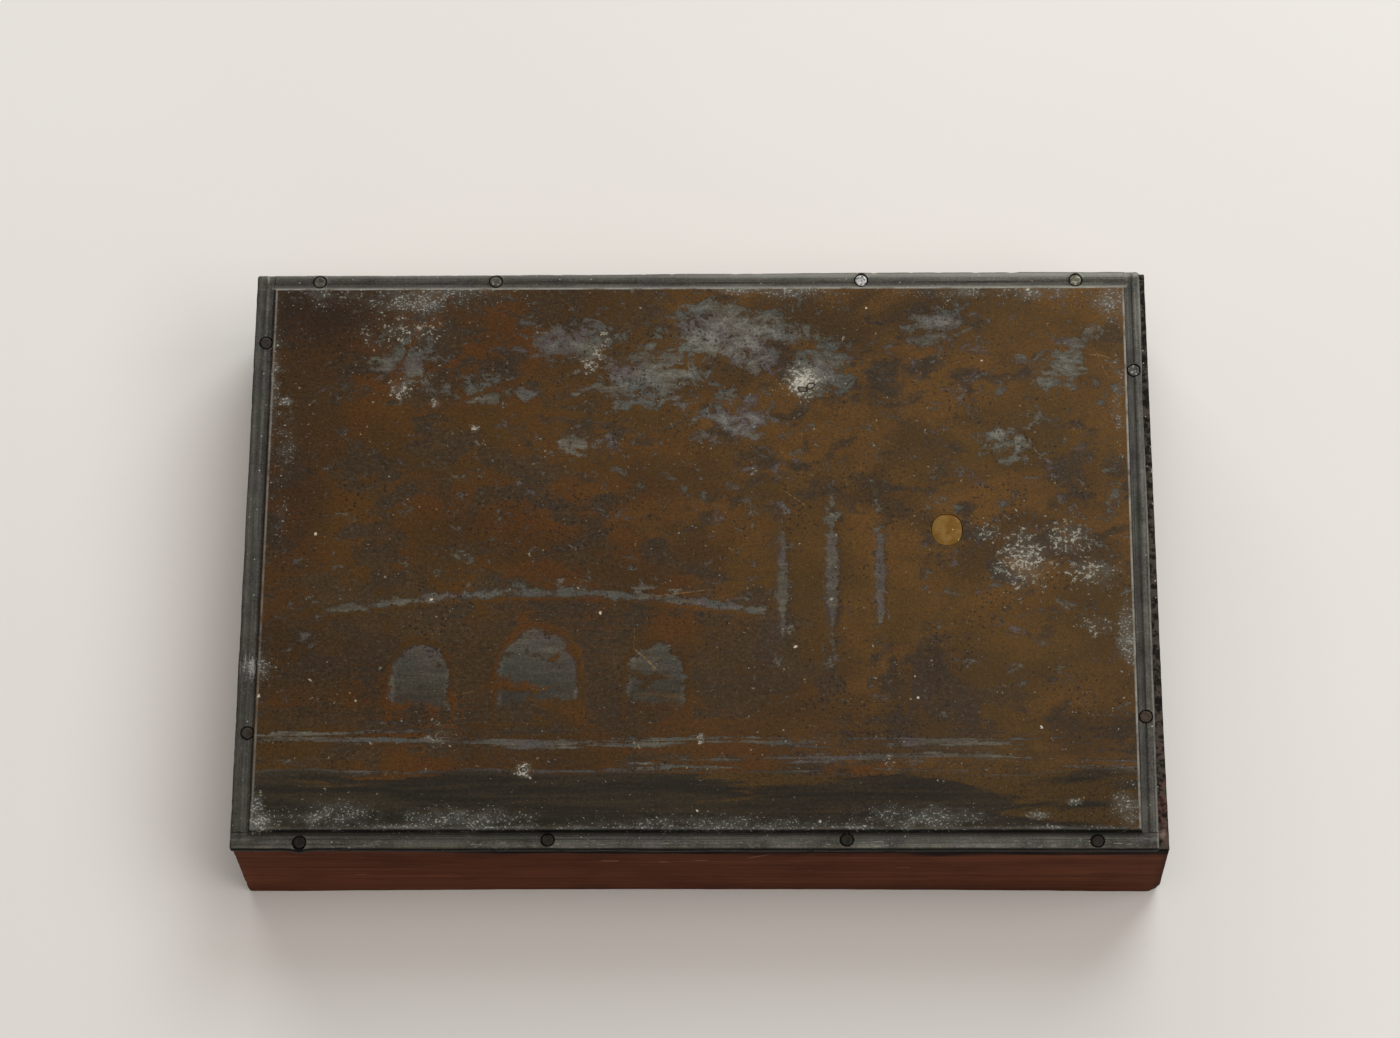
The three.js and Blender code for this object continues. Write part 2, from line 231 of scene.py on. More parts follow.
# Ink has run down from the top, furthest on the right, and the corners are dirty. The front's top
# edge under the plate is painted dark as shadow, darker towards the right.
below_top = (high[2] - at_z) / mm
ink_run = 3.9 + 1.6 * np.clip(rough(rows, (0.12, 0.12, 0.1), 71.0), -0.6, 2.0)
ink_run += 0.9 * smooth(-60 * mm, 60 * mm, at_x)
ink_run *= np.where((outward[:, 1] > 0.5) | (outward[:, 0] < -0.5), 0.4, 1.0)
ink_run *= 0.35 + 0.65 * smooth(-58 * mm, -25 * mm, at_x)
faint_shade = 0.3 * smooth(5.0, 0.0, below_top) * smooth(-45 * mm, -15 * mm, at_x)
right_shadow_and_grime = 0.6 * smooth(6.0, 1.0, below_top) * smooth(56 * mm, 68 * mm, at_x)
top_shade = np.maximum(np.maximum(smooth(1.3, 0.6, below_top), faint_shade), right_shadow_and_grime)
end_edge = smooth(1.1 * mm, 0.1 * mm, from_right) * smooth(3 * mm, 1 * mm, from_front)
edge_gap = np.sort(np.minimum(rows - low, high - rows), axis=1)[:, 1] / mm
for name, values in {
    "end_grain": np.where(np.abs(outward[:, 0]) > 0.6, 1.0, 0.0),
    "ink": smooth(ink_run, 0.0, below_top),
    "top_shade": top_shade * (outward[:, 1] < -0.5),
    "dirty_corner": np.clip(2.0 * chip + 0.7 * end_edge, 0.0, 1.0),
    "pale_knock": mound(at_x / mm, at_y / mm, 69.7, -44.7, 0.6, 0.5) * strip,
    "strip": strip,
    "red_end": strip * smooth(-22 * mm, -40 * mm, at_y) * smooth(-47 * mm, -45 * mm, at_y),
    "arris": smooth(1.1, 0.1, edge_gap),
}.items():
    set_values(block, name, values)
bpy.ops.object.shade_smooth_by_angle(angle=math.radians(50))


class Nodes:
    """A material under making: each call adds its nodes and returns what they give."""

    def __init__(self, name):
        self.material = bpy.data.materials.new(name)
        self.material.use_nodes = True
        self.tree = self.material.node_tree
        self.shader = self.tree.nodes["Principled BSDF"]
        self.spot = self.make("TexCoord", {})["Object"]

    def join(self, value, socket):
        if isinstance(value, bpy.types.NodeSocket):
            self.tree.links.new(value, socket)
        elif isinstance(value, tuple) and len(value) == 3 and socket.type == "RGBA":
            socket.default_value = (*value, 1.0)
        else:
            socket.default_value = value

    def make(self, kind, inputs, **settings):
        """Adds a node with its settings, sets or links its inputs and returns its outputs."""
        node = self.tree.nodes.new("ShaderNode" + kind)
        for name, value in settings.items():
            setattr(node, name, value)
        for name, value in inputs.items():
            self.join(value, node.inputs[name])
        return node.outputs

    def maths(self, operation, first, second=0.0):
        return self.make("Math", {0: first, 1: second}, operation=operation)[0]

    def add(self, total, *others):
        for other in others:
            total = self.maths("ADD", total, other)
        return total

    def times(self, product, *others):
        for other in others:
            product = self.maths("MULTIPLY", product, other)
        return product

    def rest(self, share):
        """What the share leaves of one."""
        return self.maths("SUBTRACT", 1.0, share)

    def size(self, value):
        """The value without its sign."""
        return self.maths("ABSOLUTE", value)

    def swing(self, value, reach):
        """A noise's swing to either side of its middle, in millimetres or shares."""
        return self.times(self.add(value, -0.5), reach)

    def step(self, value, low, high, new_low=0.0, new_high=1.0):
        """Smooth step of a value from low to high."""
        return self.make("MapRange", {
            "Value": value, "From Min": low, "From Max": high,
            "To Min": new_low, "To Max": new_high,
        }, interpolation_type="SMOOTHSTEP")["Result"]

    def place(self, scale, offset=(0.0, 0.0, 0.0), turn=0.0):
        """Object coordinates in cycles per millimetre, turned about Z and moved in cycles."""
        return self.make("Mapping", {
            "Vector": self.spot, "Location": offset, "Rotation": (0.0, 0.0, turn),
            "Scale": [each / mm for each in scale],
        })["Vector"]

    def mark(self, middle, half_size, turn):
        """Object coordinates about a mark's middle, turned with it, 1 at the end of each half."""
        return self.make("Mapping", {
            "Vector": self.spot, "Location": middle, "Rotation": turn, "Scale": half_size,
        }, vector_type="TEXTURE")["Vector"]

    def split(self, vector):
        """The three numbers of a place."""
        return tuple(self.make("SeparateXYZ", {0: vector}))

    def length(self, vector):
        return self.make("VectorMath", {0: vector}, operation="LENGTH")["Value"]

    def noise(self, scale, detail=3.0, roughness=0.55, offset=(0.0, 0.0, 0.0), bend=0.0):
        """Cloudy noise from 0 to 1 with the scale in cycles per millimetre along X, Y and Z."""
        return self.make("TexNoise", {
            "Vector": self.place(scale, offset), "Scale": 1.0, "Detail": detail,
            "Roughness": roughness, "Distortion": bend,
        })["Fac"]

    def cells(self, scale, offset=(0.0, 0.0, 0.0)):
        """Scattered cells: the distance to the nearest seed, and each cell's own random share."""
        where = {"Vector": self.place((scale, scale, scale), offset), "Scale": 1.0}
        found = self.make("TexVoronoi", where, feature="F1")
        return found["Distance"], self.make("SeparateColor", {"Color": found["Color"]})["Red"]

    def walls(self, scale, offset):
        """The distance to the nearest wall between scattered cells."""
        where = {"Vector": self.place(scale, offset), "Scale": 1.0}
        return self.make("TexVoronoi", where, feature="DISTANCE_TO_EDGE")["Distance"]

    def stored(self, name):
        return self.make("Attribute", {}, attribute_name=name)["Fac"]

    def blend(self, share, first, second, way="MIX"):
        sides = {"Factor": share, "A": first, "B": second}
        return self.make("Mix", sides, data_type="RGBA", blend_type=way)["Result"]

    def layers(self, colour, *layers):
        """The colour with others laid over it in turn: where, how strongly, which colour."""
        for where, strength, over in layers:
            cover = where if strength == 1.0 else self.times(where, strength)
            colour = self.blend(cover, colour, over)
        return colour

    def bump(self, height, distance, strength):
        heights = {"Height": height, "Distance": distance, "Strength": strength}
        return self.make("Bump", heights)["Normal"]

    def finish(self, piece, **sockets):
        """Sets the shader's sockets and gives the material to the piece."""
        for name, value in sockets.items():
            self.join(value, self.shader.inputs[name.replace("_", " ")])
        piece.data.materials.clear()
        piece.data.materials.append(self.material)


def srgb(red, green, blue):
    """A colour as it is read off the object, from 0 to 255, as the shader's linear values."""
    shares = [channel / 255 for channel in (red, green, blue)]
    return tuple(s / 12.92 if s <= 0.04045 else ((s + 0.055) / 1.055) ** 2.4 for s in shares)


# Long grain on the front and back: broad bands, fine dark fibres and pores.
wood = Nodes("stained_block_wood")
fibre = wood.noise((0.03, 1.1, 1.5), 5.0, 0.6, bend=0.3)
figure = wood.noise((0.012, 0.16, 0.22), 3.0, 0.5, (4.0, 1.0, 2.0), 0.6)
pores = wood.step(wood.noise((0.16, 3.2, 3.2), 2.0, 0.5, (9.0, 3.0, 5.0)), 0.62, 0.72)
bands = wood.step(figure, 0.3, 0.7)
long_wood = wood.layers(
    wood.blend(bands, srgb(92, 51, 34), srgb(120, 69, 46)),
    (wood.step(fibre, 0.35, 0.7), 0.75, srgb(84, 45, 29)),
    (pores, 0.5, srgb(42, 23, 16)),
)

# The rings on the end grain curve round a pith that lay outside the block, below and in front.
streaks = wood.noise((0.1, 0.35, 1.2), 4.0, 0.6, (2.0, 7.0, 1.0), 0.8)
end_dots = wood.step(wood.noise((2.2, 2.2, 2.2), 2.0, 0.6), 0.55, 0.68)
from_pith = wood.length(wood.place((0.0, 0.001, 0.001), (0.0, 0.03, 0.06)))
ring_phase = wood.add(wood.times(from_pith, 2300.0), wood.times(figure, 14.0))
ring_line = wood.step(wood.maths("SINE", ring_phase), 0.2, 1.0)
ring_line = wood.times(ring_line, wood.step(figure, 0.3, 0.65, 0.1, 0.4))
end_wood = wood.layers(
    wood.blend(bands, srgb(70, 39, 28), srgb(84, 48, 34)),
    (wood.step(streaks, 0.4, 0.7), 0.3, srgb(62, 33, 24)),
    (end_dots, 0.35, srgb(40, 22, 17)),
    (ring_line, 1.0, srgb(46, 25, 19)),
)
grime = wood.step(wood.noise((0.09, 0.09, 0.14), 4.0, 0.6, (5.0, 5.0, 1.0)), 0.45, 0.75)
rub = wood.step(wood.noise((0.5, 0.5, 0.5), 4.0, 0.7), 0.5, 0.66)
pale_scratch = wood.step(wood.noise((0.1, 0.6, 7.0), 1.0, 0.4, (13.0, 2.0, 6.0)), 0.74, 0.78)
wood_colour = wood.layers(
    wood.blend(wood.stored("end_grain"), long_wood, end_wood),
    (grime, 0.35, srgb(52, 30, 22)),
    (wood.times(wood.stored("arris"), rub), 0.3, srgb(150, 98, 66)),
    (pale_scratch, 0.45, srgb(168, 122, 92)),
)

# Knocks have left short pale scratches on the front: east, up, length, slope, strength.
for east, up, length_mm, degrees, strength in (
    (-13.5, 15.9, 3.2, 0.0, 0.85), (-5.4, 15.4, 1.5, 2.0, 0.55), (0.3, 16.1, 2.4, -3.0, 0.5),
    (9.2, 18.4, 5.0, 30.0, 0.5), (-52.0, 9.0, 2.0, 4.0, 0.35), (31.0, 12.5, 2.6, -2.0, 0.35),
):
    along, into, above = wood.split(wood.mark(
        (east * mm, block_low.y, up * mm), (length_mm / 2 * mm, mm, 0.3 * mm),
        (0.0, math.radians(-degrees), 0.0),
    ))
    on_line = wood.step(wood.size(wood.add(above, wood.swing(fibre, 1.5))), 1.0, 0.3)
    on_run = wood.step(wood.size(along), 1.0, 0.6)
    on_front = wood.step(wood.size(into), 1.0, 0.8)
    scratch = wood.times(wood.times(on_line, on_run), wood.times(on_front, strength))
    wood_colour = wood.blend(scratch, wood_colour, srgb(160, 116, 92))
wood_colour = wood.layers(wood_colour, (wood.stored("dirty_corner"), 0.75, srgb(40, 27, 22)))

# Old ink: black to red-brown down the sides, and grey ridges with pale grit on the bare top strip.
ink_cover = wood.step(wood.add(wood.stored("ink"), wood.swing(fibre, 0.7)), 0.32, 0.62)
ink_tone = wood.step(wood.noise((0.12, 1.3, 0.8), 4.0, 0.6, (1.0, 9.0, 4.0)), 0.42, 0.68)
red_hint = wood.step(wood.noise((0.05, 0.12, 0.1), 2.0, 0.5, (8.0, 8.0, 8.0)), 0.56, 0.7)
ink_colour = wood.layers(
    wood.blend(ink_tone, srgb(24, 19, 18), srgb(58, 38, 36)),
    (red_hint, 0.5, srgb(72, 34, 36)),
)
ridge = wood.step(wood.noise((1.0, 1.2, 1.0), 4.0, 0.65, (4.0, 2.0, 2.0), 0.1), 0.42, 0.58)
red_patch = wood.step(wood.noise((0.5, 0.3, 0.5), 3.0, 0.6, (3.0, 6.0, 1.0)), 0.48, 0.56)
strip_red = wood.blend(ridge, srgb(32, 26, 24), srgb(88, 62, 54))
gap, chance = wood.cells(1.5)
grit = wood.times(wood.step(chance, 0.84, 0.86), wood.step(gap, 0.24, 0.1))
strip_colour = wood.layers(
    wood.blend(ridge, srgb(28, 25, 23), srgb(72, 64, 57)),
    (wood.times(wood.stored("red_end"), red_patch), 1.0, strip_red),
    (grit, 0.8, srgb(186, 180, 170)),
    (wood.stored("pale_knock"), 0.85, srgb(158, 134, 120)),
)
ink_colour = wood.blend(wood.stored("strip"), ink_colour, strip_colour)
# Painted shadow under the plate's edge lies over the front's top.
wood_colour = wood.layers(
    wood_colour,
    (ink_cover, 1.0, ink_colour),
    (wood.stored("top_shade"), 0.9, srgb(16, 13, 12)),
)
wood_height = wood.add(wood.times(fibre, 0.6), wood.times(pores, -0.8))
wood.finish(
    block,
    Base_Color=wood_colour,
    Roughness=wood.step(fibre, 0.2, 0.8, 0.68, 0.84),
    Specular_IOR_Level=0.04,
    Normal=wood.bump(wood_height, 0.00006, 0.5),
)
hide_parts("wood_block")
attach(block, "root")


# The etched plate. One sheet of dull blue-grey metal, nailed to the block through the flange that
# the bevelling cutter has sunk along each side. Acid has bitten the light tones of the picture
# below the copper-brown face.
flange_left, flange_right, flange_front, flange_back = 3.03, 2.66, 2.95, 2.72
drop_left, drop_right, drop_front, drop_back = 0.8, 0.84, 0.92, 0.76
plate_left, plate_right = plate_low.x / mm, plate_high.x / mm
plate_front, plate_back = plate_low.y / mm, plate_high.y / mm
type_height = plate_high.z / mm
face_left, face_right = plate_left + flange_left, plate_right - flange_right
face_front, face_back = plate_front + flange_front, plate_back - flange_back
face_step = 0.45
finer_round_nails, finer_round_rivet = 1.6, 3.2
nail_middles = {
    name: (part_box(name)[0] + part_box(name)[1]) / 2 / mm
    for name in sorted(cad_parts) if name.startswith("nail_")
}
head_and_dome = 0.33
rivet_middle = (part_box("anchor_rivet")[0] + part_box("anchor_rivet")[1]) / 2 / mm
rivet_radius, rivet_half_x, rivet_half_y, squareness = 2.4, 2.28, 2.52, 2.3


def grid_lines(low_edge, low_face, high_face, high_edge):
    """Grid lines across the plate: fine on the flanges and at the face's rim, even between."""
    def outward(width):
        near = [0.0, 0.05, 0.14, 0.2, 0.3, 0.5, 0.72, 0.94, 1.14, 1.3, 1.46]
        edge = [width - 0.34, width - 0.22, width - 0.12, width - 0.05, width]
        return [*near, *np.linspace(1.68, width - 0.54, 4), *edge]
    rim = [0.05, 0.12, 0.24, 0.42, 0.64]
    low_side = [low_face - out for out in reversed(outward(low_face - low_edge))]
    high_side = [high_face + out for out in outward(high_edge - high_face)]
    low_rim = [low_face + each for each in rim]
    high_rim = [high_face - each for each in reversed(rim)]
    count = round((high_rim[0] - low_rim[-1]) / face_step)
    middle = np.linspace(low_rim[-1], high_rim[0], count + 1)[1:-1]
    return np.array([*low_side, *low_rim, *middle, *high_rim, *high_side])


lines_x = grid_lines(plate_left, face_left, face_right, plate_right)
lines_y = grid_lines(plate_front, face_front, face_back, plate_back)
bpy.ops.object.select_all(action="DESELECT")
bpy.ops.mesh.primitive_grid_add(
    x_subdivisions=len(lines_x) - 1, y_subdivisions=len(lines_y) - 1, size=1.0,
)
plate = bpy.context.active_object
rows = places(plate)
rows[:, 0] = lines_x[np.rint((rows[:, 0] + 0.5) * (len(lines_x) - 1)).astype(int)] * mm
rows[:, 1] = lines_y[np.rint((rows[:, 1] + 0.5) * (len(lines_y) - 1)).astype(int)] * mm
rows[:, 2] = plate_high.z
set_places(plate, rows)
start_edit("plate")


def close_to(face, middle, reach):
    spot = face.calc_center_median() / mm
    return math.hypot(spot.x - middle.x, spot.y - middle.y) < reach


pick("FACE", lambda face: any(
    close_to(face, spot, finer_round_nails) for spot in nail_middles.values()
))
bpy.ops.mesh.subdivide(number_cuts=2)
pick("FACE", lambda face: close_to(face, rivet_middle, finer_round_rivet))
bpy.ops.mesh.subdivide(number_cuts=2)
pick("EDGE", lambda edge: edge.is_boundary)
bpy.ops.mesh.extrude_edges_move(
    TRANSFORM_OT_translate={"value": (0.0, 0.0, plate_low.z - plate_high.z)},
)
bpy.ops.mesh.edge_face_add()
bpy.ops.mesh.select_all(action="SELECT")
bpy.ops.mesh.normals_make_consistent(inside=False)
bpy.ops.object.mode_set(mode="OBJECT")

rows = places(plate)
on_top = rows[:, 2] > (plate_low.z + plate_high.z) / 2
x, y = rows[:, 0] / mm, rows[:, 1] / mm


def pass_depth(out, width, drop):
    """How deep one pass of the bevelling cutter goes, by the distance out from the face's edge."""
    floor = drop + 0.1
    stops = [-0.12, 0.0, 0.05, 0.14, 0.2, 0.3, 1.14, 1.46, width]
    depths = [0, 0.02, 0.12, floor - 0.13, floor - 0.03, floor, floor, drop, drop + 0.05]
    return np.interp(out, stops, depths)


outs = {
    "left": face_left - x, "right": x - face_right, "front": face_front - y, "back": y - face_back,
}
depth_sides = np.maximum(
    pass_depth(outs["left"], flange_left, drop_left),
    pass_depth(outs["right"], flange_right, drop_right),
)
depth_ends = np.maximum(
    pass_depth(outs["front"], flange_front, drop_front),
    pass_depth(outs["back"], flange_back, drop_back),
)
out = np.max(list(outs.values()), axis=0)
side_pass = (depth_sides > depth_ends).astype(float)
flange = smooth(0.1, 0.4, out)
along_y, along_x = rough(rows, (0.9, 0.05, 0.0), 5.0), rough(rows, (0.05, 0.9, 0.0), 9.0)
wobble = np.where(side_pass > 0.5, along_y, along_x)
depth = np.maximum(depth_sides, depth_ends) + 0.02 * flange * wobble

# The plate's outer edge is rubbed round and nicked, and its front edge is rolled over.
gap_x = np.minimum(x - plate_left, plate_right - x)
gap_y = np.minimum(y - plate_front, plate_back - y)
edge_gap = np.minimum(gap_x, gap_y)
nicks = np.clip(rough(rows, (0.5, 0.5, 0.0), 15.0, 4) - 0.25, 0.0, 1.0)
depth += smooth(0.16, 0.0, edge_gap) * (0.05 + 0.5 * nicks)
# The rolled front edge and the sheet's front side are painted dark, as shade.
front_lip_shade = smooth(0.36, 0.22, y - plate_front)
depth += 0.26 * smooth(0.36, 0.0, y - plate_front)

# Each nail is punched into a dimple with a faint raised lip round it.
dimple_radius = 1.02
dimple = np.zeros(len(rows))
for name, spot in nail_middles.items():
    node_low, node_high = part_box(name)
    floor = type_height - node_high.z / mm + head_and_dome
    gap = np.hypot(x - spot.x, y - spot.y)
    sunk = smooth(dimple_radius + 0.07, dimple_radius - 0.07, gap)
    depth = depth * (1.0 - sunk) + np.maximum(depth, floor) * sunk
    depth -= 0.03 * np.exp(-((gap - dimple_radius - 0.18) / 0.12) ** 2) * (out > 0.2)
    # The ring round each head in its dimple is painted nearly black, as shade.
    dimple = np.maximum(dimple, smooth(dimple_radius + 0.15, dimple_radius - 0.02, gap))
# The plate dips under the rim of the rivet's head, which isn't quite round.
rivet_across = np.abs(x - rivet_middle.x) / rivet_half_x
rivet_up = np.abs(y - rivet_middle.y) / rivet_half_y
rivet_gap = (rivet_across ** squareness + rivet_up ** squareness) ** (1 / squareness)
depth += 0.4 * smooth(rivet_radius + 0.06, rivet_radius - 0.06, rivet_radius * rivet_gap)

# The picture: an arched stone bridge over a river on the left, poplars and a bushy bank on the
# right, a bough and leaves over them. Places are shares of the picture's sides from its lower left
# corner, and each form is a distance in millimetres, above zero inside the form.
picture_margin = 0.35
picture_left, picture_front = face_left + picture_margin, face_front + picture_margin
picture_width = face_right - face_left - 2 * picture_margin
picture_depth = face_back - face_front - 2 * picture_margin
u, v = (x - picture_left) / picture_width, (y - picture_front) / picture_depth
nowhere = np.full(len(rows), -4.0)
lobe_share = 0.16


def ovals(shares):
    """Distance into the nearest of some ovals with lobed rims."""
    inside = nowhere
    for middle_u, middle_v, half_u, half_v, lobes in shares:
        across, up = (u - middle_u) / half_u, (v - middle_v) / half_v
        rim = 1.0 + lobe_share * np.cos(lobes * np.arctan2(up, across) + lobes)
        small_half = min(half_u * picture_width, half_v * picture_depth)
        inside = np.maximum(inside, (rim - np.hypot(across, up)) * small_half)
    return inside


def lenses(shares, standing):
    """Distance into the nearest of some long pointed lenses, standing or lying."""
    inside = nowhere
    for middle_u, middle_v, half_u, half_v in shares:
        across, up = (u - middle_u) / half_u, (v - middle_v) / half_v
        along, thick, half = (up, across, half_u * picture_width)
        if not standing:
            along, thick, half = (across, up, half_v * picture_depth)
        inside = np.maximum(inside, (1.0 - along ** 2 - np.abs(thick)) * half)
    return inside


def limb(shares, start_radius, end_radius):
    """Distance into a bough that tapers along a run of places."""
    inside = nowhere
    joints = np.array(shares) * (picture_width, picture_depth)
    for number, (start, end) in enumerate(zip(joints, joints[1:])):
        run = end - start
        to_x, to_y = u * picture_width - start[0], v * picture_depth - start[1]
        share = np.clip((to_x * run[0] + to_y * run[1]) / run.dot(run), 0.0, 1.0)
        gap = np.hypot(to_x - share * run[0], to_y - share * run[1])
        grown = (number + share) / (len(joints) - 1)
        inside = np.maximum(inside, start_radius + (end_radius - start_radius) * grown - gap)
    return inside


def clumps(size_mm, offset):
    """Round clumps: 1 at the lit top of each and -1 at its dark foot."""
    tops = []
    for row in rows:
        spot = Vector((row[0] / size_mm / mm + offset, 1.3 * row[1] / size_mm / mm, 0.0))
        nearest = noise.voronoi(spot)[1][0]
        tops.append(spot.y - nearest.y - 0.5 * abs(spot.x - nearest.x))
    return np.clip(1.6 * np.array(tops), -1.0, 1.0)


sky = ovals([
    (0.16, 0.86, 0.03, 0.035, 4),
    (0.25, 0.8, 0.03, 0.022, 5),
    (0.345, 0.9, 0.045, 0.035, 4),
    (0.44, 0.83, 0.062, 0.05, 5),
    (0.54, 0.91, 0.075, 0.06, 4),
    (0.545, 0.75, 0.04, 0.036, 5),
    (0.36, 0.71, 0.02, 0.018, 4),
    (0.64, 0.85, 0.036, 0.045, 3),
    (0.78, 0.93, 0.035, 0.03, 4),
    (0.93, 0.86, 0.026, 0.045, 4),
    (0.87, 0.7, 0.022, 0.026, 3),
])
deck_left, deck_right, deck_end, deck_rise, coping_deep = 0.07, 0.58, 0.385, 0.035, 0.012
deck_share = np.clip((u - deck_left) / (deck_right - deck_left), 0.0, 1.0)
deck = deck_end + deck_rise * np.sin(np.pi * deck_share)
over_deck = (v - deck) * picture_depth
deck_ends = np.minimum(u - deck_left, deck_right - u) * picture_width
coping = np.minimum(np.minimum(over_deck, coping_deep * picture_depth - over_deck), deck_ends)
arch_spring, arch_foot = 0.27, 0.19
arches = nowhere
for middle_u, half_u, rise_v in ((0.185, 0.032, 0.06), (0.32, 0.045, 0.085), (0.455, 0.032, 0.06)):
    up = np.maximum(v - arch_spring, 0.0) / rise_v
    head = (1.0 - np.hypot((u - middle_u) / half_u, up)) * half_u * picture_width
    arches = np.maximum(arches, np.minimum(head, (v - arch_foot) * picture_depth))
wall = np.minimum(np.minimum(-over_deck, (v - arch_foot) * picture_depth), deck_ends)
wall = np.minimum(wall, -arches)
trunks = lenses([
    (0.63, 0.46, 0.017, 0.27), (0.685, 0.45, 0.018, 0.3), (0.74, 0.46, 0.016, 0.26),
], True)
poplar_lights = lenses([
    (0.6, 0.45, 0.008, 0.13), (0.657, 0.46, 0.009, 0.15), (0.712, 0.46, 0.008, 0.13),
], True)
glints = lenses([
    (0.12, 0.16, 0.08, 0.006), (0.36, 0.15, 0.11, 0.007), (0.62, 0.16, 0.09, 0.006),
    (0.84, 0.15, 0.1, 0.008), (0.7, 0.125, 0.13, 0.006),
], False)
water = (0.1 + 0.006 * np.sin(10 * np.pi * u) * np.cos(np.pi * u) - v) * picture_depth
boughs = np.maximum(
    limb([(-0.01, 0.72), (0.09, 0.755), (0.2, 0.775), (0.31, 0.77), (0.4, 0.75)], 1.5, 0.35),
    limb([(0.2, 0.775), (0.3, 0.83), (0.37, 0.86), (0.46, 0.865)], 0.8, 0.25),
)
boughs = np.maximum(boughs, limb([(0.09, 0.755), (0.14, 0.82), (0.17, 0.93)], 0.8, 0.3))
boughs = np.maximum(boughs, limb([(0.31, 0.77), (0.38, 0.795), (0.5, 0.78)], 0.5, 0.2))

small_clumps, large_clumps = clumps(4.2, 3.0), clumps(9.0, 8.0)
drifts = 2.0 * rough(rows, (0.06, 0.09, 0.0), 127.0, 3)
canopy = smooth(0.5, 0.58, v + 0.02 * np.sin(9 * u))
river = smooth(0.2, 0.185, v)
bank = smooth(0.755, 0.775, u + 0.03 * np.sin(17 * v)) * (1 - river) * (1 - canopy)
off_bridge = smooth(-0.2, 0.4, np.maximum(over_deck, -deck_ends))
far_trees = (1 - bank) * (1 - river) * (1 - canopy) * off_bridge
leafy = np.clip(canopy + 0.85 * bank + 0.8 * far_trees, 0.0, 1.0)
leafy *= smooth(0.3, -0.3, boughs) * smooth(-0.2, -1.2, coping)
leafy *= 1 - 0.65 * smooth(-0.5, 0.3, trunks)
leafy *= 1 - 0.85 * smooth(-0.6, 0.1, poplar_lights) * (1 - canopy)

golden = smooth(-45.0, 55.0, x + 0.5 * y)
light = np.clip(sky + 0.7 * small_clumps, -2.9 + 0.5 * golden, 3.2) * canopy
light += (1 - canopy) * (-2.2 + 0.6 * small_clumps + 0.9 * large_clumps * bank - 0.6 * river)
light = np.where(wall > -0.3, np.minimum(-1.4 + 0.5 * drifts, -wall * 2.0), light)
light = np.where((trunks > 0) & (canopy < 0.9), -2.5, light)
light = np.minimum(light, np.where(boughs > -1.0, -boughs, 9.0))
far_bank = (0.225 + 0.008 * np.sin(21 * u) + 0.006 * small_clumps - v) * picture_depth
seen_through = np.minimum(arches, 1.0 + 1.4 * small_clumps + 0.8 * drifts)
seen_through = np.where(far_bank > 0, np.minimum(arches, -0.9 + 0.5 * small_clumps), seen_through)
light = np.maximum(light, np.maximum(seen_through, coping))
light = np.maximum(light, np.maximum(1.7 * poplar_lights - 0.5, np.maximum(glints, water)))

arch_rings = 0.5 - np.abs(arches + 0.6)
string_course = np.minimum(0.35 - np.abs(over_deck + 0.5), deck_ends)
pale_stone = 4.0 * smooth(-0.15, 0.15, np.maximum(arch_rings, string_course))
poplar_land = far_trees * smooth(0.58, 0.6, u)
midtone = drifts + 0.5 * large_clumps + 0.5 * small_clumps + 1.3 * poplar_land
midtone = np.where(wall > 0.0, 1.5 + drifts - pale_stone, midtone)
midtone = np.where((trunks > -0.2) & (canopy < 0.9), -1.6 + 0.5 * drifts, midtone)
midtone = np.where(boughs > -0.2, -2.5, midtone)
ripple = np.clip(river + smooth(0.5, 0.0, np.abs(glints)), 0.0, 1.0)
dim = smooth(0.4, -0.6, -water) + 0.76 * smooth(0.0, 0.6, arches) * smooth(0.4, 0.2, v)
dim = np.clip(dim + 0.2 * smooth(-0.6, 0.2, poplar_lights) * (1 - canopy), 0.0, 1.0)
upright = smooth(-0.6, 0.2, trunks) * (1 - 0.7 * canopy)

in_picture = smooth(0.02, -0.12, out)
depth += 0.07 * smooth(-0.4, 0.4, light) * in_picture
depth += 0.012 * smooth(-0.5, 0.5, midtone) * in_picture
dents = smooth(0.42, 0.6, rough(rows, (0.16, 0.16, 0.0), 163.0, 2))
depth += 0.02 * dents * in_picture

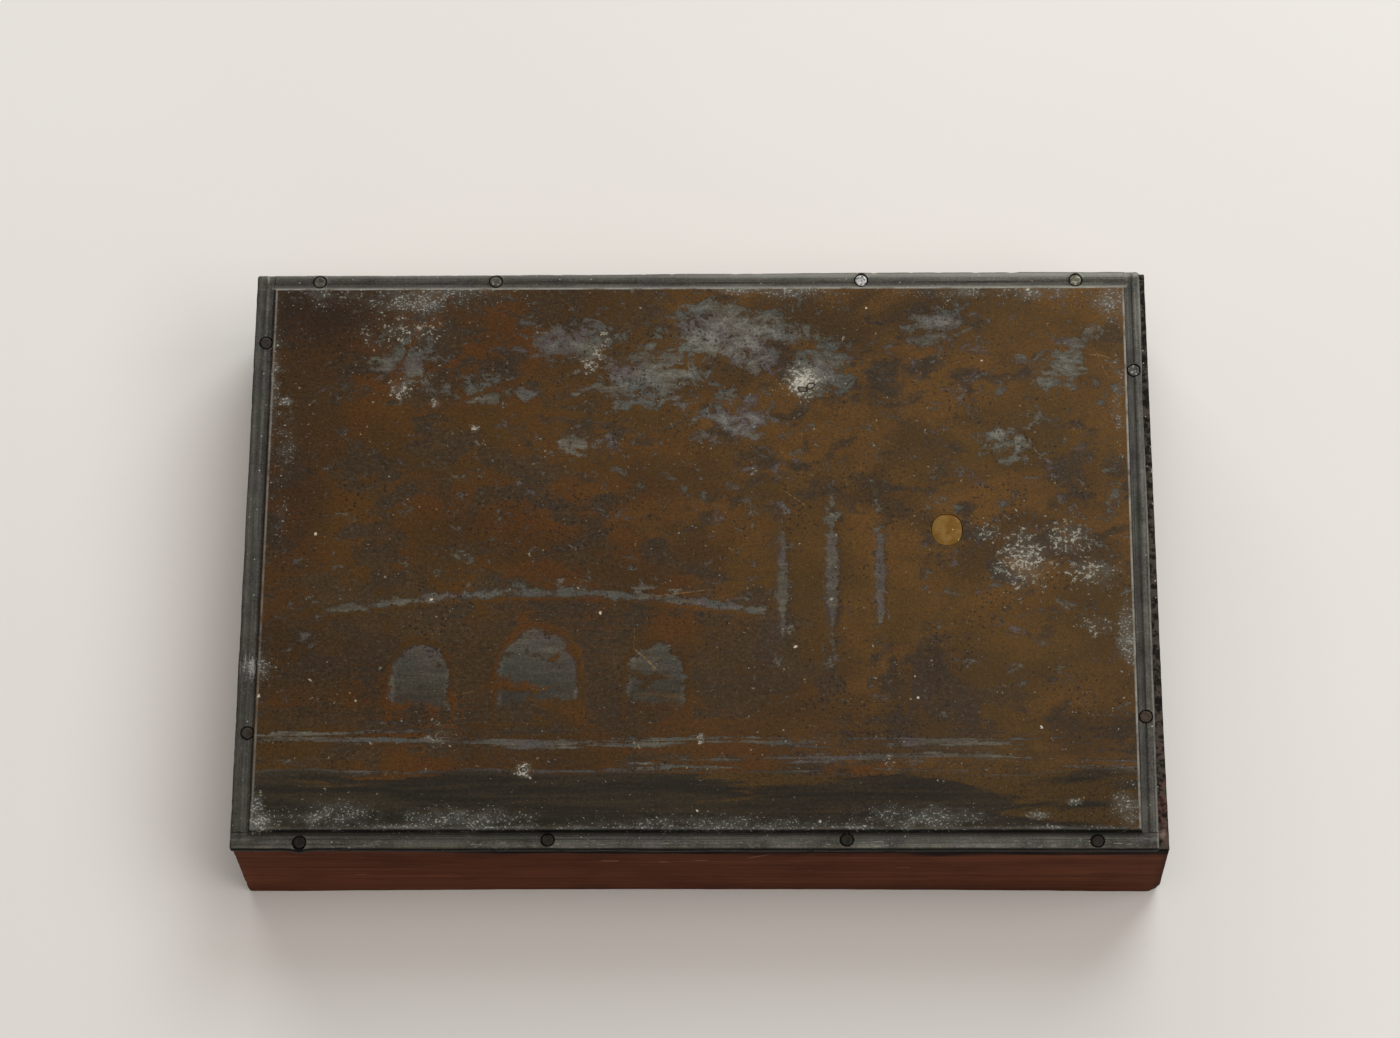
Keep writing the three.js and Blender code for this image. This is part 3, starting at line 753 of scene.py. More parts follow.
# White corrosion has bloomed in spots and bands: east, north, reach across and up, strength.
bloom_spots = [
    (16.0, 28.6, 2.5, 2.3, 1.22), (14.2, 30.4, 1.5, 1.2, 0.6), (-26.5, -35.3, 1.05, 1.0, 1.3),
    (-16.3, 34.4, 1.1, 1.6, 0.72), (-64.6, 19.0, 2.4, 6.0, 0.34), (-65.2, 6.0, 1.4, 4.0, 0.3),
    (-41.0, 44.2, 10.0, 1.3, 0.5), (14.0, 44.1, 9.0, 1.3, 0.5), (42.0, 44.1, 12.0, 1.2, 0.45),
    (-17.6, 31.6, 1.5, 1.2, 0.7), (-15.2, 36.6, 0.9, 1.0, 0.7), (-47.2, 27.4, 1.5, 1.4, 0.85),
    (-41.7, 25.2, 0.8, 0.7, 0.95), (-65.2, 25.4, 1.1, 0.7, 0.95), (-35.3, 20.9, 0.6, 0.6, 1.0),
    (49.8, -1.4, 3.7, 4.2, 0.86), (56.4, 2.2, 3.2, 2.8, 0.74), (60.0, -3.2, 3.8, 2.4, 0.68),
    (44.0, 3.4, 2.6, 1.6, 0.5), (60.5, -12.4, 2.6, 2.0, 0.5), (65.2, -14.0, 1.6, 5.0, 0.62),
    (-66.6, -18.4, 1.2, 2.0, 0.55),
    (-45.5, 42.6, 7.5, 2.4, 0.62),
    (-46.5, 38.0, 6.5, 4.0, 0.5), (-66.0, -43.6, 2.6, 1.9, 0.84), (-66.8, -41.4, 1.2, 3.0, 0.62),
    (-55.0, -42.4, 6.0, 2.2, 0.6), (-35.0, -43.2, 10.0, 2.0, 0.54), (5.0, -43.8, 22.0, 1.4, 0.48),
    (34.0, -42.8, 9.0, 2.0, 0.56),
    (-57.0, 43.4, 6.0, 2.2, 0.4), (64.5, 42.5, 2.6, 4.5, 0.62), (52.0, 44.0, 10.0, 1.4, 0.5),
    (56.6, -40.2, 1.1, 0.5, 0.9), (51.3, -42.4, 1.6, 0.6, 0.7), (64.8, -41.0, 2.6, 3.0, 0.6),
    (5.4, 44.4, 2.6, 0.7, 0.85), (13.5, 44.5, 1.6, 0.6, 0.75),
    (-39.3, -29.7, 2.6, 2.2, 0.42), (28.9, -33.7, 0.7, 1.5, 0.55), (0.2, -30.5, 0.6, 0.9, 0.7),
    (-8.9, -31.3, 0.8, 0.8, 0.55), (64.9, 26.0, 1.0, 12.0, 0.38), (-67.0, 30.0, 1.0, 12.0, 0.45),
]
front_band = np.exp(-(((y - face_front - 0.42) / 0.36) ** 2))
bloom = front_band * (0.42 + 0.4 * rough(rows, (0.12, 0.1, 0.0), 171.0, 3))
bloom = np.clip(bloom, 0.0, 1.0)
for east, north, reach_x, reach_y, strength in bloom_spots:
    gap = ((x - east) / reach_x) ** 2 + ((y - north) / reach_y) ** 2
    bloom = np.maximum(bloom, strength * np.exp(-0.7 * gap))
bloom *= 1.0 - 0.5 * smooth(0.1, 0.3, out)
scuff = mound(x, y, -68.9, -18.4, 1.3, 2.1)

# The face is tarnished at its upper left corner, down its left side and towards the lower right.
tarnish = mound(x, y, -60.0, 41.0, 11.0, 7.0)
tarnish = np.maximum(tarnish, 0.5 * mound(x, y, -64.0, 10.0, 6.0, 30.0))
tarnish = np.maximum(tarnish, 0.2 * smooth(-5.0, -28.0, y) * smooth(-20.0, 15.0, x))
front_land = smooth(1.2, 1.6, outs["front"]) * smooth(0.1, 0.4, edge_gap)


def hill(values, middle, spread):
    """A round hill, 1 at the middle and fading within the spread on either side."""
    return np.exp(-(((values - middle) / spread) ** 2))


# Each side of the flange has its own painted light and shade: painted shade lies in its corner at
# the front and left and in the channels at the back and right, and the wall, the rim and the outer
# edge carry painted highlights at the back and right.
belongs = [outs[side] >= out - 0.001 for side in ("front", "back", "left")]
flange_dark = np.select(belongs, [
    0.8 * smooth(0.95, 0.3, out) * (out > -0.09),
    0.26 * hill(out, 1.2, 0.4) + 0.6 * smooth(0.16, 0.04, edge_gap) * smooth(-30, -10, x),
    0.5 * hill(out, 0.3, 0.24) * (out > 0.12) + 0.36 * hill(out, 1.55, 0.34)
    + 0.6 * smooth(0.2, 0.05, edge_gap) + 0.08 * (out > 0.12),
], (0.26 * smooth(1.5, 1.2, out) + 0.02) * (out > 0.12))
flange_dark = np.maximum(flange_dark, 0.9 * front_lip_shade)
flange_light = np.select(belongs, [
    np.zeros(len(rows)),
    0.5 * smooth(0.8, 0.35, out) + (0.25 + 0.25 * smooth(-10, 10, x)) * smooth(0.9, 0.3, edge_gap),
    0.14 * hill(edge_gap, 0.7, 0.35) * smooth(-30, 10, y),
], 0.3 * smooth(0.34, 0.12, edge_gap))
rim_light = np.select(belongs, [0.1, 0.9, 0.34 + 0.2 * smooth(-20, 20, y)], 0.8)
rim_middle = np.select(belongs, [-0.25, -0.02, -0.26], -0.12)
rim_reach = np.select(belongs, [0.3, 0.3, 0.22], 0.25)
line_share = np.select(belongs, [0.5, 0.8, 0.6], 0.45)
for name, values in {
    "light": light, "midtone": midtone, "leafy": leafy, "ripple": ripple, "upright": upright,
    "dim": dim, "wall": wall, "out": out, "side_pass": side_pass, "bloom": bloom, "scuff": scuff,
    "tarnish": tarnish, "golden": golden, "dimple": dimple, "edge_gap": edge_gap,
    "front_land": front_land, "flange_dark": flange_dark, "flange_light": flange_light,
    "rim_light": rim_light, "rim_middle": rim_middle, "rim_reach": rim_reach,
    "line_share": line_share,
}.items():
    # The sheet's sides take the rolled front lip's painted shade.
    beside = {"out": 3.0, "flange_dark": 0.9 * front_lip_shade}.get(name, 0.0)
    set_values(plate, name, np.where(on_top, values, beside))

# Corners of the sheet are clipped round, its outline wanders a little, and one nail has bulged
# its front edge. The back edge stands out towards the right, and the right edge is hollow.
corner_radius = 0.45
core_x = np.clip(x, plate_left + corner_radius, plate_right - corner_radius)
core_y = np.clip(y, plate_front + corner_radius, plate_back - corner_radius)
past = np.hypot(x - core_x, y - core_y)
pull = np.where(past > corner_radius, corner_radius / np.maximum(past, 1e-6), 1.0)
in_corner = (np.abs(x - core_x) > 0) & (np.abs(y - core_y) > 0)
x = np.where(in_corner, core_x + (x - core_x) * pull, x)
y = np.where(in_corner, core_y + (y - core_y) * pull, y)
wander = 0.06 * (rough(rows, (0.12, 0.12, 0.0), 181.0, 3) - 0.5) * smooth(0.5, 0.0, edge_gap)
bulge_nail = nail_middles["nail_front_1"]
bulge = np.exp(-((x - bulge_nail.x) / 1.1) ** 2) * smooth(1.1, 0.0, y - plate_front)
x = x + np.where(x < 0, -1.0, 1.0) * wander * (np.minimum(x - plate_left, plate_right - x) < 0.5)
y = y + np.where(y < 0, -1.0, 1.0) * wander * (np.minimum(y - plate_front, plate_back - y) < 0.5)
bulge_out, bulge_down, back_stands_out, right_hollow = 0.34, 0.12, 0.26, 0.2
y -= bulge_out * bulge
depth += bulge_down * bulge
y += back_stands_out * smooth(-40, 40, x) * smooth(0.5, 0.0, plate_back - y)
x -= right_hollow * hill(y, 26.0, 16.0) * smooth(0.5, 0.0, plate_right - x)
shaped = np.stack([x, y, np.where(on_top, type_height - depth, plate_low.z / mm)], axis=1) * mm
set_places(plate, shaped)
bpy.ops.object.shade_smooth_by_angle(angle=math.radians(40))

metal = Nodes("etched_tarnished_metal")
fine = metal.noise((1.5, 1.9, 1.5), 4.0, 0.62)
grain = metal.noise((3.4, 3.9, 3.0), 3.0, 0.65, (7.0, 3.0, 0.0))
medium = metal.noise((0.42, 0.6, 0.5), 5.0, 0.62, (3.0, 8.0, 0.0), 0.4)
leaf = metal.noise((0.34, 0.42, 0.3), 7.0, 0.72, (11.0, 4.0, 0.0), 0.6)
broad = metal.noise((0.03, 0.04, 0.04), 3.0, 0.5, (1.0, 4.0, 0.0))
drift = metal.noise((0.1, 0.14, 0.1), 5.0, 0.6, (6.0, 2.0, 0.0), 0.5)
film = metal.noise((0.16, 1.3, 0.5), 5.0, 0.65, (2.0, 5.0, 0.0))
level_streaks = metal.noise((0.05, 0.9, 0.4), 5.0, 0.65, (4.0, 9.0, 0.0), 0.2)
upright_streaks = metal.noise((1.1, 0.07, 0.4), 5.0, 0.65, (7.0, 1.0, 0.0), 0.2)

# The dot screen runs at 45 degrees, about three dots to the millimetre.
screen_pitch = 21.0
screen_place = metal.place((screen_pitch, screen_pitch, 0.0), turn=math.radians(45))
screen_x, screen_y, _ = metal.split(screen_place)
dots = metal.times(metal.maths("SINE", screen_x), metal.maths("SINE", screen_y))

# Where the acid has bitten right down, with leaves, ripples and a worn rim breaking up the edge.
leafy_share = metal.stored("leafy")
ripple_share = metal.stored("ripple")
foliage = metal.times(metal.add(metal.swing(leaf, 24.0), metal.swing(fine, 2.5)), leafy_share)
ripples = metal.times(metal.swing(level_streaks, 9.0), ripple_share)
worn_rim = metal.add(metal.swing(medium, 3.2), metal.swing(fine, 1.4))
light_field = metal.add(metal.stored("light"), foliage, metal.add(ripples, worn_rim))
softness = metal.add(metal.times(leafy_share, 0.75), 0.45)
etched = metal.step(light_field, metal.times(softness, -1.0), softness)

# The middle tones, where the dot screen leaves part of the face standing.
patches = metal.noise((0.13, 0.19, 0.1), 3.0, 0.5, (17.0, 23.0, 0.0), 0.7)
lace = metal.noise((0.5, 0.66, 0.5), 4.0, 0.55, (17.0, 23.0, 0.0), 0.8)
mid_field = metal.add(
    metal.stored("midtone"),
    metal.add(metal.swing(patches, 15.0), metal.swing(lace, 6.0)),
    metal.times(metal.swing(upright_streaks, 8.0), metal.stored("upright")),
    metal.times(metal.swing(level_streaks, 12.0), ripple_share),
    metal.add(metal.times(dots, 0.2), metal.swing(fine, 2.5)),
    metal.times(metal.stored("golden"), -1.3),
)

# Courses of stone show on the bridge as darker joints.
bricks = metal.make("TexBrick", {
    "Vector": metal.place((1.0, 1.0, 0.0), (0.3, 0.9, 0.0)), "Scale": 1.0,
    "Brick Width": 3.1, "Row Height": 1.45, "Mortar Size": 0.11, "Mortar Smooth": 0.5,
})["Fac"]
joints = metal.times(bricks, metal.step(metal.stored("wall"), 0.1, 0.5))
worn_joints = metal.times(joints, metal.step(medium, 0.35, 0.6, 0.3, 0.9))
mid = metal.times(metal.step(mid_field, -1.0, 1.2), metal.rest(worn_joints))

# The copper-brown face is golden towards the east and redder towards the west, olive in places.
to_east = metal.step(metal.add(metal.stored("golden"), metal.swing(drift, 1.2)), 0.2, 0.8)
cloudy = metal.noise((0.06, 0.085, 0.1), 4.0, 0.55, (41.0, 13.0, 0.0), 0.5)
cloudy = metal.step(cloudy, 0.36, 0.62)
west_colour = metal.blend(cloudy, srgb(64, 43, 17), srgb(80, 48, 15))
east_colour = metal.blend(cloudy, srgb(67, 47, 20), srgb(91, 62, 24))
solid_colour = metal.layers(
    metal.blend(to_east, west_colour, east_colour),
    (metal.step(broad, 0.45, 0.6), 0.5, srgb(64, 46, 16)),
    (metal.step(medium, 0.45, 0.7), 0.3, srgb(56, 39, 19)),
)
mid_colour = metal.layers(
    metal.blend(metal.step(drift, 0.38, 0.62), srgb(66, 48, 26), srgb(58, 45, 31)),
    (metal.step(medium, 0.35, 0.65), 0.5, srgb(45, 35, 22)),
    (metal.step(fine, 0.52, 0.68), 0.4, srgb(74, 62, 48)),
)

# Etched ground is grey, with mauve and green-grey drifts. Still water is darker, streaked brown.
cool = metal.step(metal.noise((0.11, 0.15, 0.1), 4.0, 0.55, (21.0, 33.0, 0.0), 0.4), 0.5, 0.6)
open_share = metal.add(metal.times(to_east, 0.5), 0.35)
sky_colour = metal.layers(
    metal.blend(metal.step(film, 0.35, 0.68), srgb(72, 66, 55), srgb(98, 93, 81)),
    (metal.step(drift, 0.44, 0.6), 0.7, srgb(80, 70, 71)),
    (cool, 0.7, srgb(75, 77, 70)),
    (metal.step(light_field, 1.5, 5.0), open_share, srgb(113, 110, 102)),
    (metal.step(fine, 0.5, 0.7), 0.4, srgb(54, 48, 41)),
)
streaked = metal.noise((0.035, 0.3, 0.1), 4.0, 0.55, (8.0, 2.0, 0.0), 0.6)
streaked = metal.add(streaked, metal.times(metal.stored("golden"), 0.17))
still_water = metal.layers(
    metal.blend(metal.step(level_streaks, 0.36, 0.64), srgb(34, 30, 22), srgb(50, 42, 29)),
    (metal.step(streaked, 0.61, 0.69), 1.0, srgb(70, 51, 22)),
)
sky_colour = metal.blend(metal.stored("dim"), sky_colour, still_water)

# Small dark marks lie in the middle tones, and a thin dark line of painted shadow where the
# etching begins.
marks = metal.step(metal.noise((1.1, 1.6, 1.0), 3.0, 0.6, (31.0, 5.0, 0.0), 1.2), 0.57, 0.66)
marked = metal.times(metal.step(mid, 0.05, 0.5), metal.step(mid, 1.0, 0.7, 0.25, 1.0))
etch_edge_shadow = metal.times(
    metal.step(etched, 0.02, 0.3),
    metal.step(etched, 0.75, 0.35),
    metal.step(metal.stored("dim"), 0.8, 0.2, 0.1, 0.6),
    metal.step(fine, 0.38, 0.6, 0.25, 1.0),
)
face_colour = metal.layers(
    metal.blend(mid, solid_colour, mid_colour),
    (metal.times(marks, marked), 0.55, srgb(30, 23, 14)),
    (etched, 1.0, sky_colour),
    (etch_edge_shadow, 1.0, srgb(36, 28, 19)),
    (metal.stored("tarnish"), 0.75, srgb(42, 30, 22)),
)
uneven = metal.add(metal.swing(grain, 1.9), metal.swing(fine, 1.0))
uneven = metal.add(uneven, metal.add(metal.swing(broad, 0.9), 1.0))
face_colour = metal.blend(1.0, face_colour, uneven, "MULTIPLY")

# Fine specks: bright metal and grit on the face, and dark pits. Each row gives the cells to the
# millimetre, their offset, the share left empty, the radius in cells, the strength, where, colour.
peppered = metal.noise((0.09, 0.12, 0.1), 4.0, 0.6, (51.0, 17.0, 0.0), 0.4)
peppered = metal.step(peppered, 0.5, 0.6, 0.12, 1.0)
everywhere = 1.0
for scale, offset, empty, radius, strength, where, tone in (
    (1.7, 12.0, 0.46, 0.36, 0.85, peppered, srgb(32, 27, 21)),
    (1.1, 15.0, 0.8, 0.15, 0.45, peppered, srgb(132, 124, 108)),
    (0.62, 0.0, 0.87, 0.12, 0.6, everywhere, srgb(150, 138, 115)),
    (0.27, 5.0, 0.84, 0.07, 0.9, everywhere, srgb(196, 188, 168)),
    (0.9, 9.0, 0.74, 0.2, 0.6, everywhere, srgb(32, 26, 21)),
):
    gap, chance = metal.cells(scale, (offset, 3.0, 0.0))
    ragged = metal.add(gap, metal.swing(fine, 4.0 * radius))
    picked = metal.step(chance, empty, empty + 0.02)
    speck = metal.times(metal.step(ragged, radius, 0.45 * radius), metal.times(picked, strength))
    face_colour = metal.blend(metal.times(speck, where), face_colour, tone)

# The flange is bare metal with lengthwise tool streaks, blotches and a dark line where its channel
# ends. Its outer edge is worn bright in places.
flange_along_x = metal.noise((0.03, 5.0, 1.0), 5.0, 0.65, (0.0, 3.0, 0.0))
flange_along_y = metal.noise((5.0, 0.03, 1.0), 5.0, 0.65, (3.0, 0.0, 0.0))
side = metal.stored("side_pass")
streaks = metal.add(
    metal.times(flange_along_y, side), metal.times(flange_along_x, metal.rest(side)),
)
out_field = metal.stored("out")
patchy = metal.noise((0.09, 0.09, 0.1), 3.0, 0.55, (2.0, 6.0, 0.0))
blotch = metal.noise((0.16, 0.12, 0.1), 4.0, 0.6, (6.0, 6.0, 0.0), 0.6)
line = metal.step(metal.size(metal.add(out_field, -1.26)), 0.2, 0.04)
line = metal.times(line, metal.step(patchy, 0.44, 0.6, 0.1, 0.7))
worn = metal.step(metal.noise((0.5, 0.5, 0.5), 4.0, 0.7, (9.0, 9.0, 0.0)), 0.35, 0.65)
bare_edge = metal.times(metal.step(metal.stored("edge_gap"), 0.22, 0.04), worn)
flange_colour = metal.layers(
    metal.blend(metal.step(streaks, 0.34, 0.68), srgb(62, 60, 54), srgb(90, 88, 81)),
    (metal.step(drift, 0.42, 0.66), 0.4, srgb(62, 63, 54)),
    (metal.step(blotch, 0.48, 0.6), 0.45, srgb(76, 69, 71)),
    (line, metal.stored("line_share"), srgb(26, 26, 25)),
    (bare_edge, 0.6, srgb(112, 110, 103)),
)
front_land = metal.stored("front_land")
smudged = metal.noise((0.3, 0.16, 0.3), 4.0, 0.6, (14.0, 6.0, 0.0), 0.3)
smudging = metal.add(side, metal.times(front_land, 1.4), 0.4)
flange_shade = metal.add(metal.swing(patchy, 1.0), metal.swing(smudged, smudging))
shade_grain = metal.add(metal.swing(medium, 0.7), metal.add(metal.swing(grain, 1.9), 1.0))
flange_shade = metal.add(flange_shade, shade_grain)
flange_colour = metal.blend(1.0, flange_colour, flange_shade, "MULTIPLY")

# Over that lie pale flecks, glitter on the front land, painted highlights, most at the back and
# right, a scuff at the left and painted shade, nearly black, in the nails' dimples.
gap, chance = metal.cells(0.8, (2.0, 7.0, 0.0))
fleck = metal.times(metal.step(chance, 0.8, 0.82), metal.step(gap, 0.13, 0.05))
glitter = metal.step(metal.noise((0.7, 4.5, 1.0), 3.0, 0.6, (6.0, 2.0, 0.0)), 0.6, 0.7)
brushed = metal.noise((3.6, 0.35, 1.0), 3.0, 0.6, (5.0, 8.0, 0.0))
scuff = metal.stored("scuff")
scuff_field = metal.add(scuff, metal.add(metal.swing(brushed, 3.6), metal.swing(grain, 1.4)))
scuffed = metal.times(metal.step(scuff_field, 0.45, 1.1), metal.step(scuff, 0.05, 0.4))
flange_colour = metal.layers(
    flange_colour,
    (fleck, 0.7, srgb(176, 174, 166)),
    (metal.times(glitter, front_land), 0.5, srgb(150, 150, 138)),
    (metal.stored("flange_light"), 1.0, srgb(146, 144, 134)),
    (scuffed, 0.72, srgb(168, 166, 160)),
    (metal.stored("dimple"), 0.95, srgb(13, 12, 11)),
)
on_flange = metal.step(out_field, 0.0, 0.1)

# The rim of the face is rubbed to bright metal and carries a painted highlight, strongest at the
# back and right.
rim_wear = metal.noise((0.35, 0.35, 0.3), 4.0, 0.65, (2.0, 2.0, 0.0))
rim_wear = metal.step(rim_wear, 0.3, 0.62, 0.25, 1.0)
off_rim = metal.size(metal.maths("SUBTRACT", out_field, metal.stored("rim_middle")))
rim_reach = metal.stored("rim_reach")
rim_wear_and_highlight = metal.step(off_rim, rim_reach, metal.times(rim_reach, 0.35))
rim_wear_and_highlight = metal.times(rim_wear_and_highlight, metal.stored("rim_light"), rim_wear)

# White bloom: a grey film round each spot, and over it a crust of crumbs and flakes that closes up
# and cracks where the spot is thick. Near the face's rim it is finer and cooler.
bloom_share = metal.stored("bloom")
near_rim = metal.step(out_field, -6.5, -3.5)
film_reach = metal.step(metal.add(bloom_share, metal.swing(medium, 1.1)), 0.15, 1.0)
thick_film = metal.step(bloom_share, 0.7, 1.2, 0.32, 0.75)
film_share = metal.maths("MAXIMUM", thick_film, metal.times(near_rim, 0.66))
film_tone = metal.layers(
    metal.blend(metal.step(bloom_share, 0.7, 1.2), srgb(106, 102, 92), srgb(132, 127, 114)),
    (near_rim, 1.0, srgb(100, 102, 97)),
)
grit = metal.noise((2.7, 3.1, 2.5), 2.0, 0.6, (5.0, 1.0, 0.0))
flakes = metal.noise((1.4, 1.6, 1.3), 4.0, 0.65, (5.0, 1.0, 0.0), 0.6)
flake_swing = metal.swing(flakes, metal.step(bloom_share, 0.1, 0.5, 3.9, 5.0))
crumbs = metal.add(
    metal.times(metal.swing(grit, 3.6), metal.add(metal.times(near_rim, 0.65), 0.35)),
    metal.times(flake_swing, metal.rest(near_rim)),
)
crumbs = metal.times(crumbs, metal.step(bloom_share, 1.1, 0.6, 0.3, 1.0))
lumps = metal.times(metal.swing(medium, 1.2), metal.step(bloom_share, 1.1, 0.6, 0.4, 1.0))
bloom_field = metal.add(bloom_share, crumbs, lumps)
bloom_cover = metal.times(metal.step(bloom_field, 0.76, 0.94), 0.9)
crack_gap = metal.walls((2.1, 2.4, 2.1), (4.0, 4.0, 0.0))
cracks = metal.step(metal.add(crack_gap, metal.swing(fine, 0.8)), 0.2, 0.04)
bloom_tone = metal.layers(
    metal.blend(metal.step(bloom_share, 0.4, 1.05), srgb(156, 151, 136), srgb(186, 181, 167)),
    (near_rim, 0.6, srgb(146, 148, 142)),
    (cracks, 0.65, srgb(78, 73, 62)),
)
uneven_tone = metal.add(metal.swing(grain, 1.0), 1.0)
bloom_tone = metal.blend(1.0, bloom_tone, uneven_tone, "MULTIPLY")
# The flange's painted shade and the rim's painted highlight lie over the face and flange, under
# the bloom.
colour = metal.layers(
    metal.blend(on_flange, face_colour, flange_colour),
    (metal.stored("flange_dark"), 1.0, srgb(20, 19, 16)),
    (rim_wear_and_highlight, 1.0, srgb(146, 144, 135)),
    (film_reach, film_share, film_tone),
    (bloom_cover, 1.0, bloom_tone),
)

# Small dark-rimmed pits lie in two of the blooms: east, north, half lengths, turn, inner tone.
for east, north, half_x, half_y, degrees, tone in (
    (15.75, 27.4, 0.9, 0.42, -12.0, srgb(70, 65, 53)),
    (17.1, 28.0, 0.78, 0.52, 18.0, srgb(134, 128, 112)),
    (-26.45, -35.2, 0.5, 0.38, 0.0, srgb(96, 90, 76)),
):
    about_pit = metal.mark(
        (east * mm, north * mm, plate_high.z), (half_x * mm, half_y * mm, 10 * mm),
        (0.0, 0.0, math.radians(degrees)),
    )
    wavy = metal.add(metal.swing(fine, 1.1), metal.swing(medium, 0.8))
    from_middle = metal.add(metal.length(about_pit), wavy)
    pit_rim = metal.step(metal.size(metal.add(from_middle, -0.82)), 0.36, 0.12)
    colour = metal.layers(
        colour,
        (metal.step(from_middle, 0.9, 0.6), 0.75, tone),
        (pit_rim, 0.95, srgb(40, 36, 29)),
    )

# Scratches cut through to bright metal: where each is, how long, which way it runs, how wide.
scratch_cover = None
for east, north, length_mm, degrees, width_mm, strength in (
    (-3.1, -6.75, 11.3, 7.0, 0.09, 0.75),
    (-8.2, -17.4, 5.4, -43.0, 0.14, 0.8),
    (-7.6, -18.2, 3.2, -52.0, 0.08, 0.6),
    (-10.1, -14.0, 3.6, 88.0, 0.07, 0.5),
    (14.6, 9.0, 4.9, -39.0, 0.11, 0.7),
    (63.4, 32.7, 6.6, -14.0, 0.08, 0.6),
    (62.5, 31.8, 6.5, -66.0, 0.07, 0.5),
    (-10.0, 1.6, 1.2, 84.0, 0.16, 0.6),
    (-36.0, -23.0, 4.0, 12.0, 0.06, 0.4),
    (30.0, 18.0, 5.0, -24.0, 0.06, 0.4),
):
    along, aside, _ = metal.split(metal.mark(
        (east * mm, north * mm, 0.0), (length_mm / 2 * mm, width_mm * mm, mm),
        (0.0, 0.0, math.radians(degrees)),
    ))
    off_line = metal.size(metal.add(aside, metal.swing(medium, 0.9 / width_mm)))
    on_run = metal.step(metal.size(along), 1.0, 0.7)
    cover = metal.times(metal.step(off_line, 1.0, 0.2), on_run, strength)
    if scratch_cover is None:
        scratch_cover = cover
    else:
        scratch_cover = metal.maths("MAXIMUM", scratch_cover, cover)
scratch_cover = metal.times(scratch_cover, metal.step(fine, 0.38, 0.56, 0.0, 0.8))
colour = metal.blend(scratch_cover, colour, srgb(150, 122, 78))

# Etched ground is lowest and dullest, the flange barest, and the bloom a raised dull crust.
height = metal.add(metal.times(etched, -1.0), metal.times(mid, -0.2))
height = metal.add(
    metal.times(height, metal.rest(on_flange)),
    metal.times(metal.swing(streaks, 0.8), on_flange),
    metal.times(fine, metal.add(metal.times(etched, 0.3), 0.15)),
    metal.times(bloom_cover, 0.8),
    metal.times(scratch_cover, -0.8),
)
dullness = metal.layers(
    metal.blend(etched, (0.46, 0.46, 0.46), (0.62, 0.62, 0.62)),
    (on_flange, 1.0, (0.42, 0.42, 0.42)),
    (bloom_cover, 1.0, (0.92, 0.92, 0.92)),
)
bareness = metal.blend(on_flange, (0.15, 0.15, 0.15), (0.6, 0.6, 0.6))
covered = metal.maths("MAXIMUM", bloom_cover, metal.stored("flange_dark"))
metal.finish(
    plate,
    Base_Color=colour,
    Roughness=metal.add(dullness, metal.swing(fine, 0.25)),
    Metallic=metal.blend(covered, bareness, (0.0, 0.0, 0.0)),
    Specular_IOR_Level=0.12,
    Normal=metal.bump(height, 0.000025, 0.7),
)
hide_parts("etched_plate")
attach(plate, "root")


# The nails. Flat-headed wire nails, each punched below the flange with its head cocked a little;
# ink and rust have darkened most heads, the heads are painted darker as shade at the front and
# left and lighter as lit at the back and right, and a few are rubbed bright, with painted
# highlights.
head_radius, head_height, head_ease = 0.9, 0.3, 0.09
shank_radius, point_length, point_share = 0.53, 1.6, 0.06
head_tones_and_shade = {
    "nail_back_1": (70, 68, 62), "nail_back_2": (58, 56, 52), "nail_back_3": (62, 60, 56),
    "nail_back_4": (76, 73, 56), "nail_front_1": (30, 29, 25), "nail_front_2": (30, 28, 23),
    "nail_front_3": (29, 29, 24), "nail_front_4": (34, 29, 26), "nail_left_1": (40, 36, 32),
    "nail_left_2": (44, 40, 38), "nail_right_1": (56, 48, 40), "nail_right_2": (56, 54, 51),
}
rubbed_and_highlit_heads = {
    "nail_back_3": 1.0, "nail_back_4": 0.5, "nail_back_2": 0.35, "nail_right_2": 0.45,
}


def draw_out(length):
    """Extrudes the picked face straight down."""
    bpy.ops.mesh.extrude_region_move(TRANSFORM_OT_translate={"value": (0.0, 0.0, -length)})


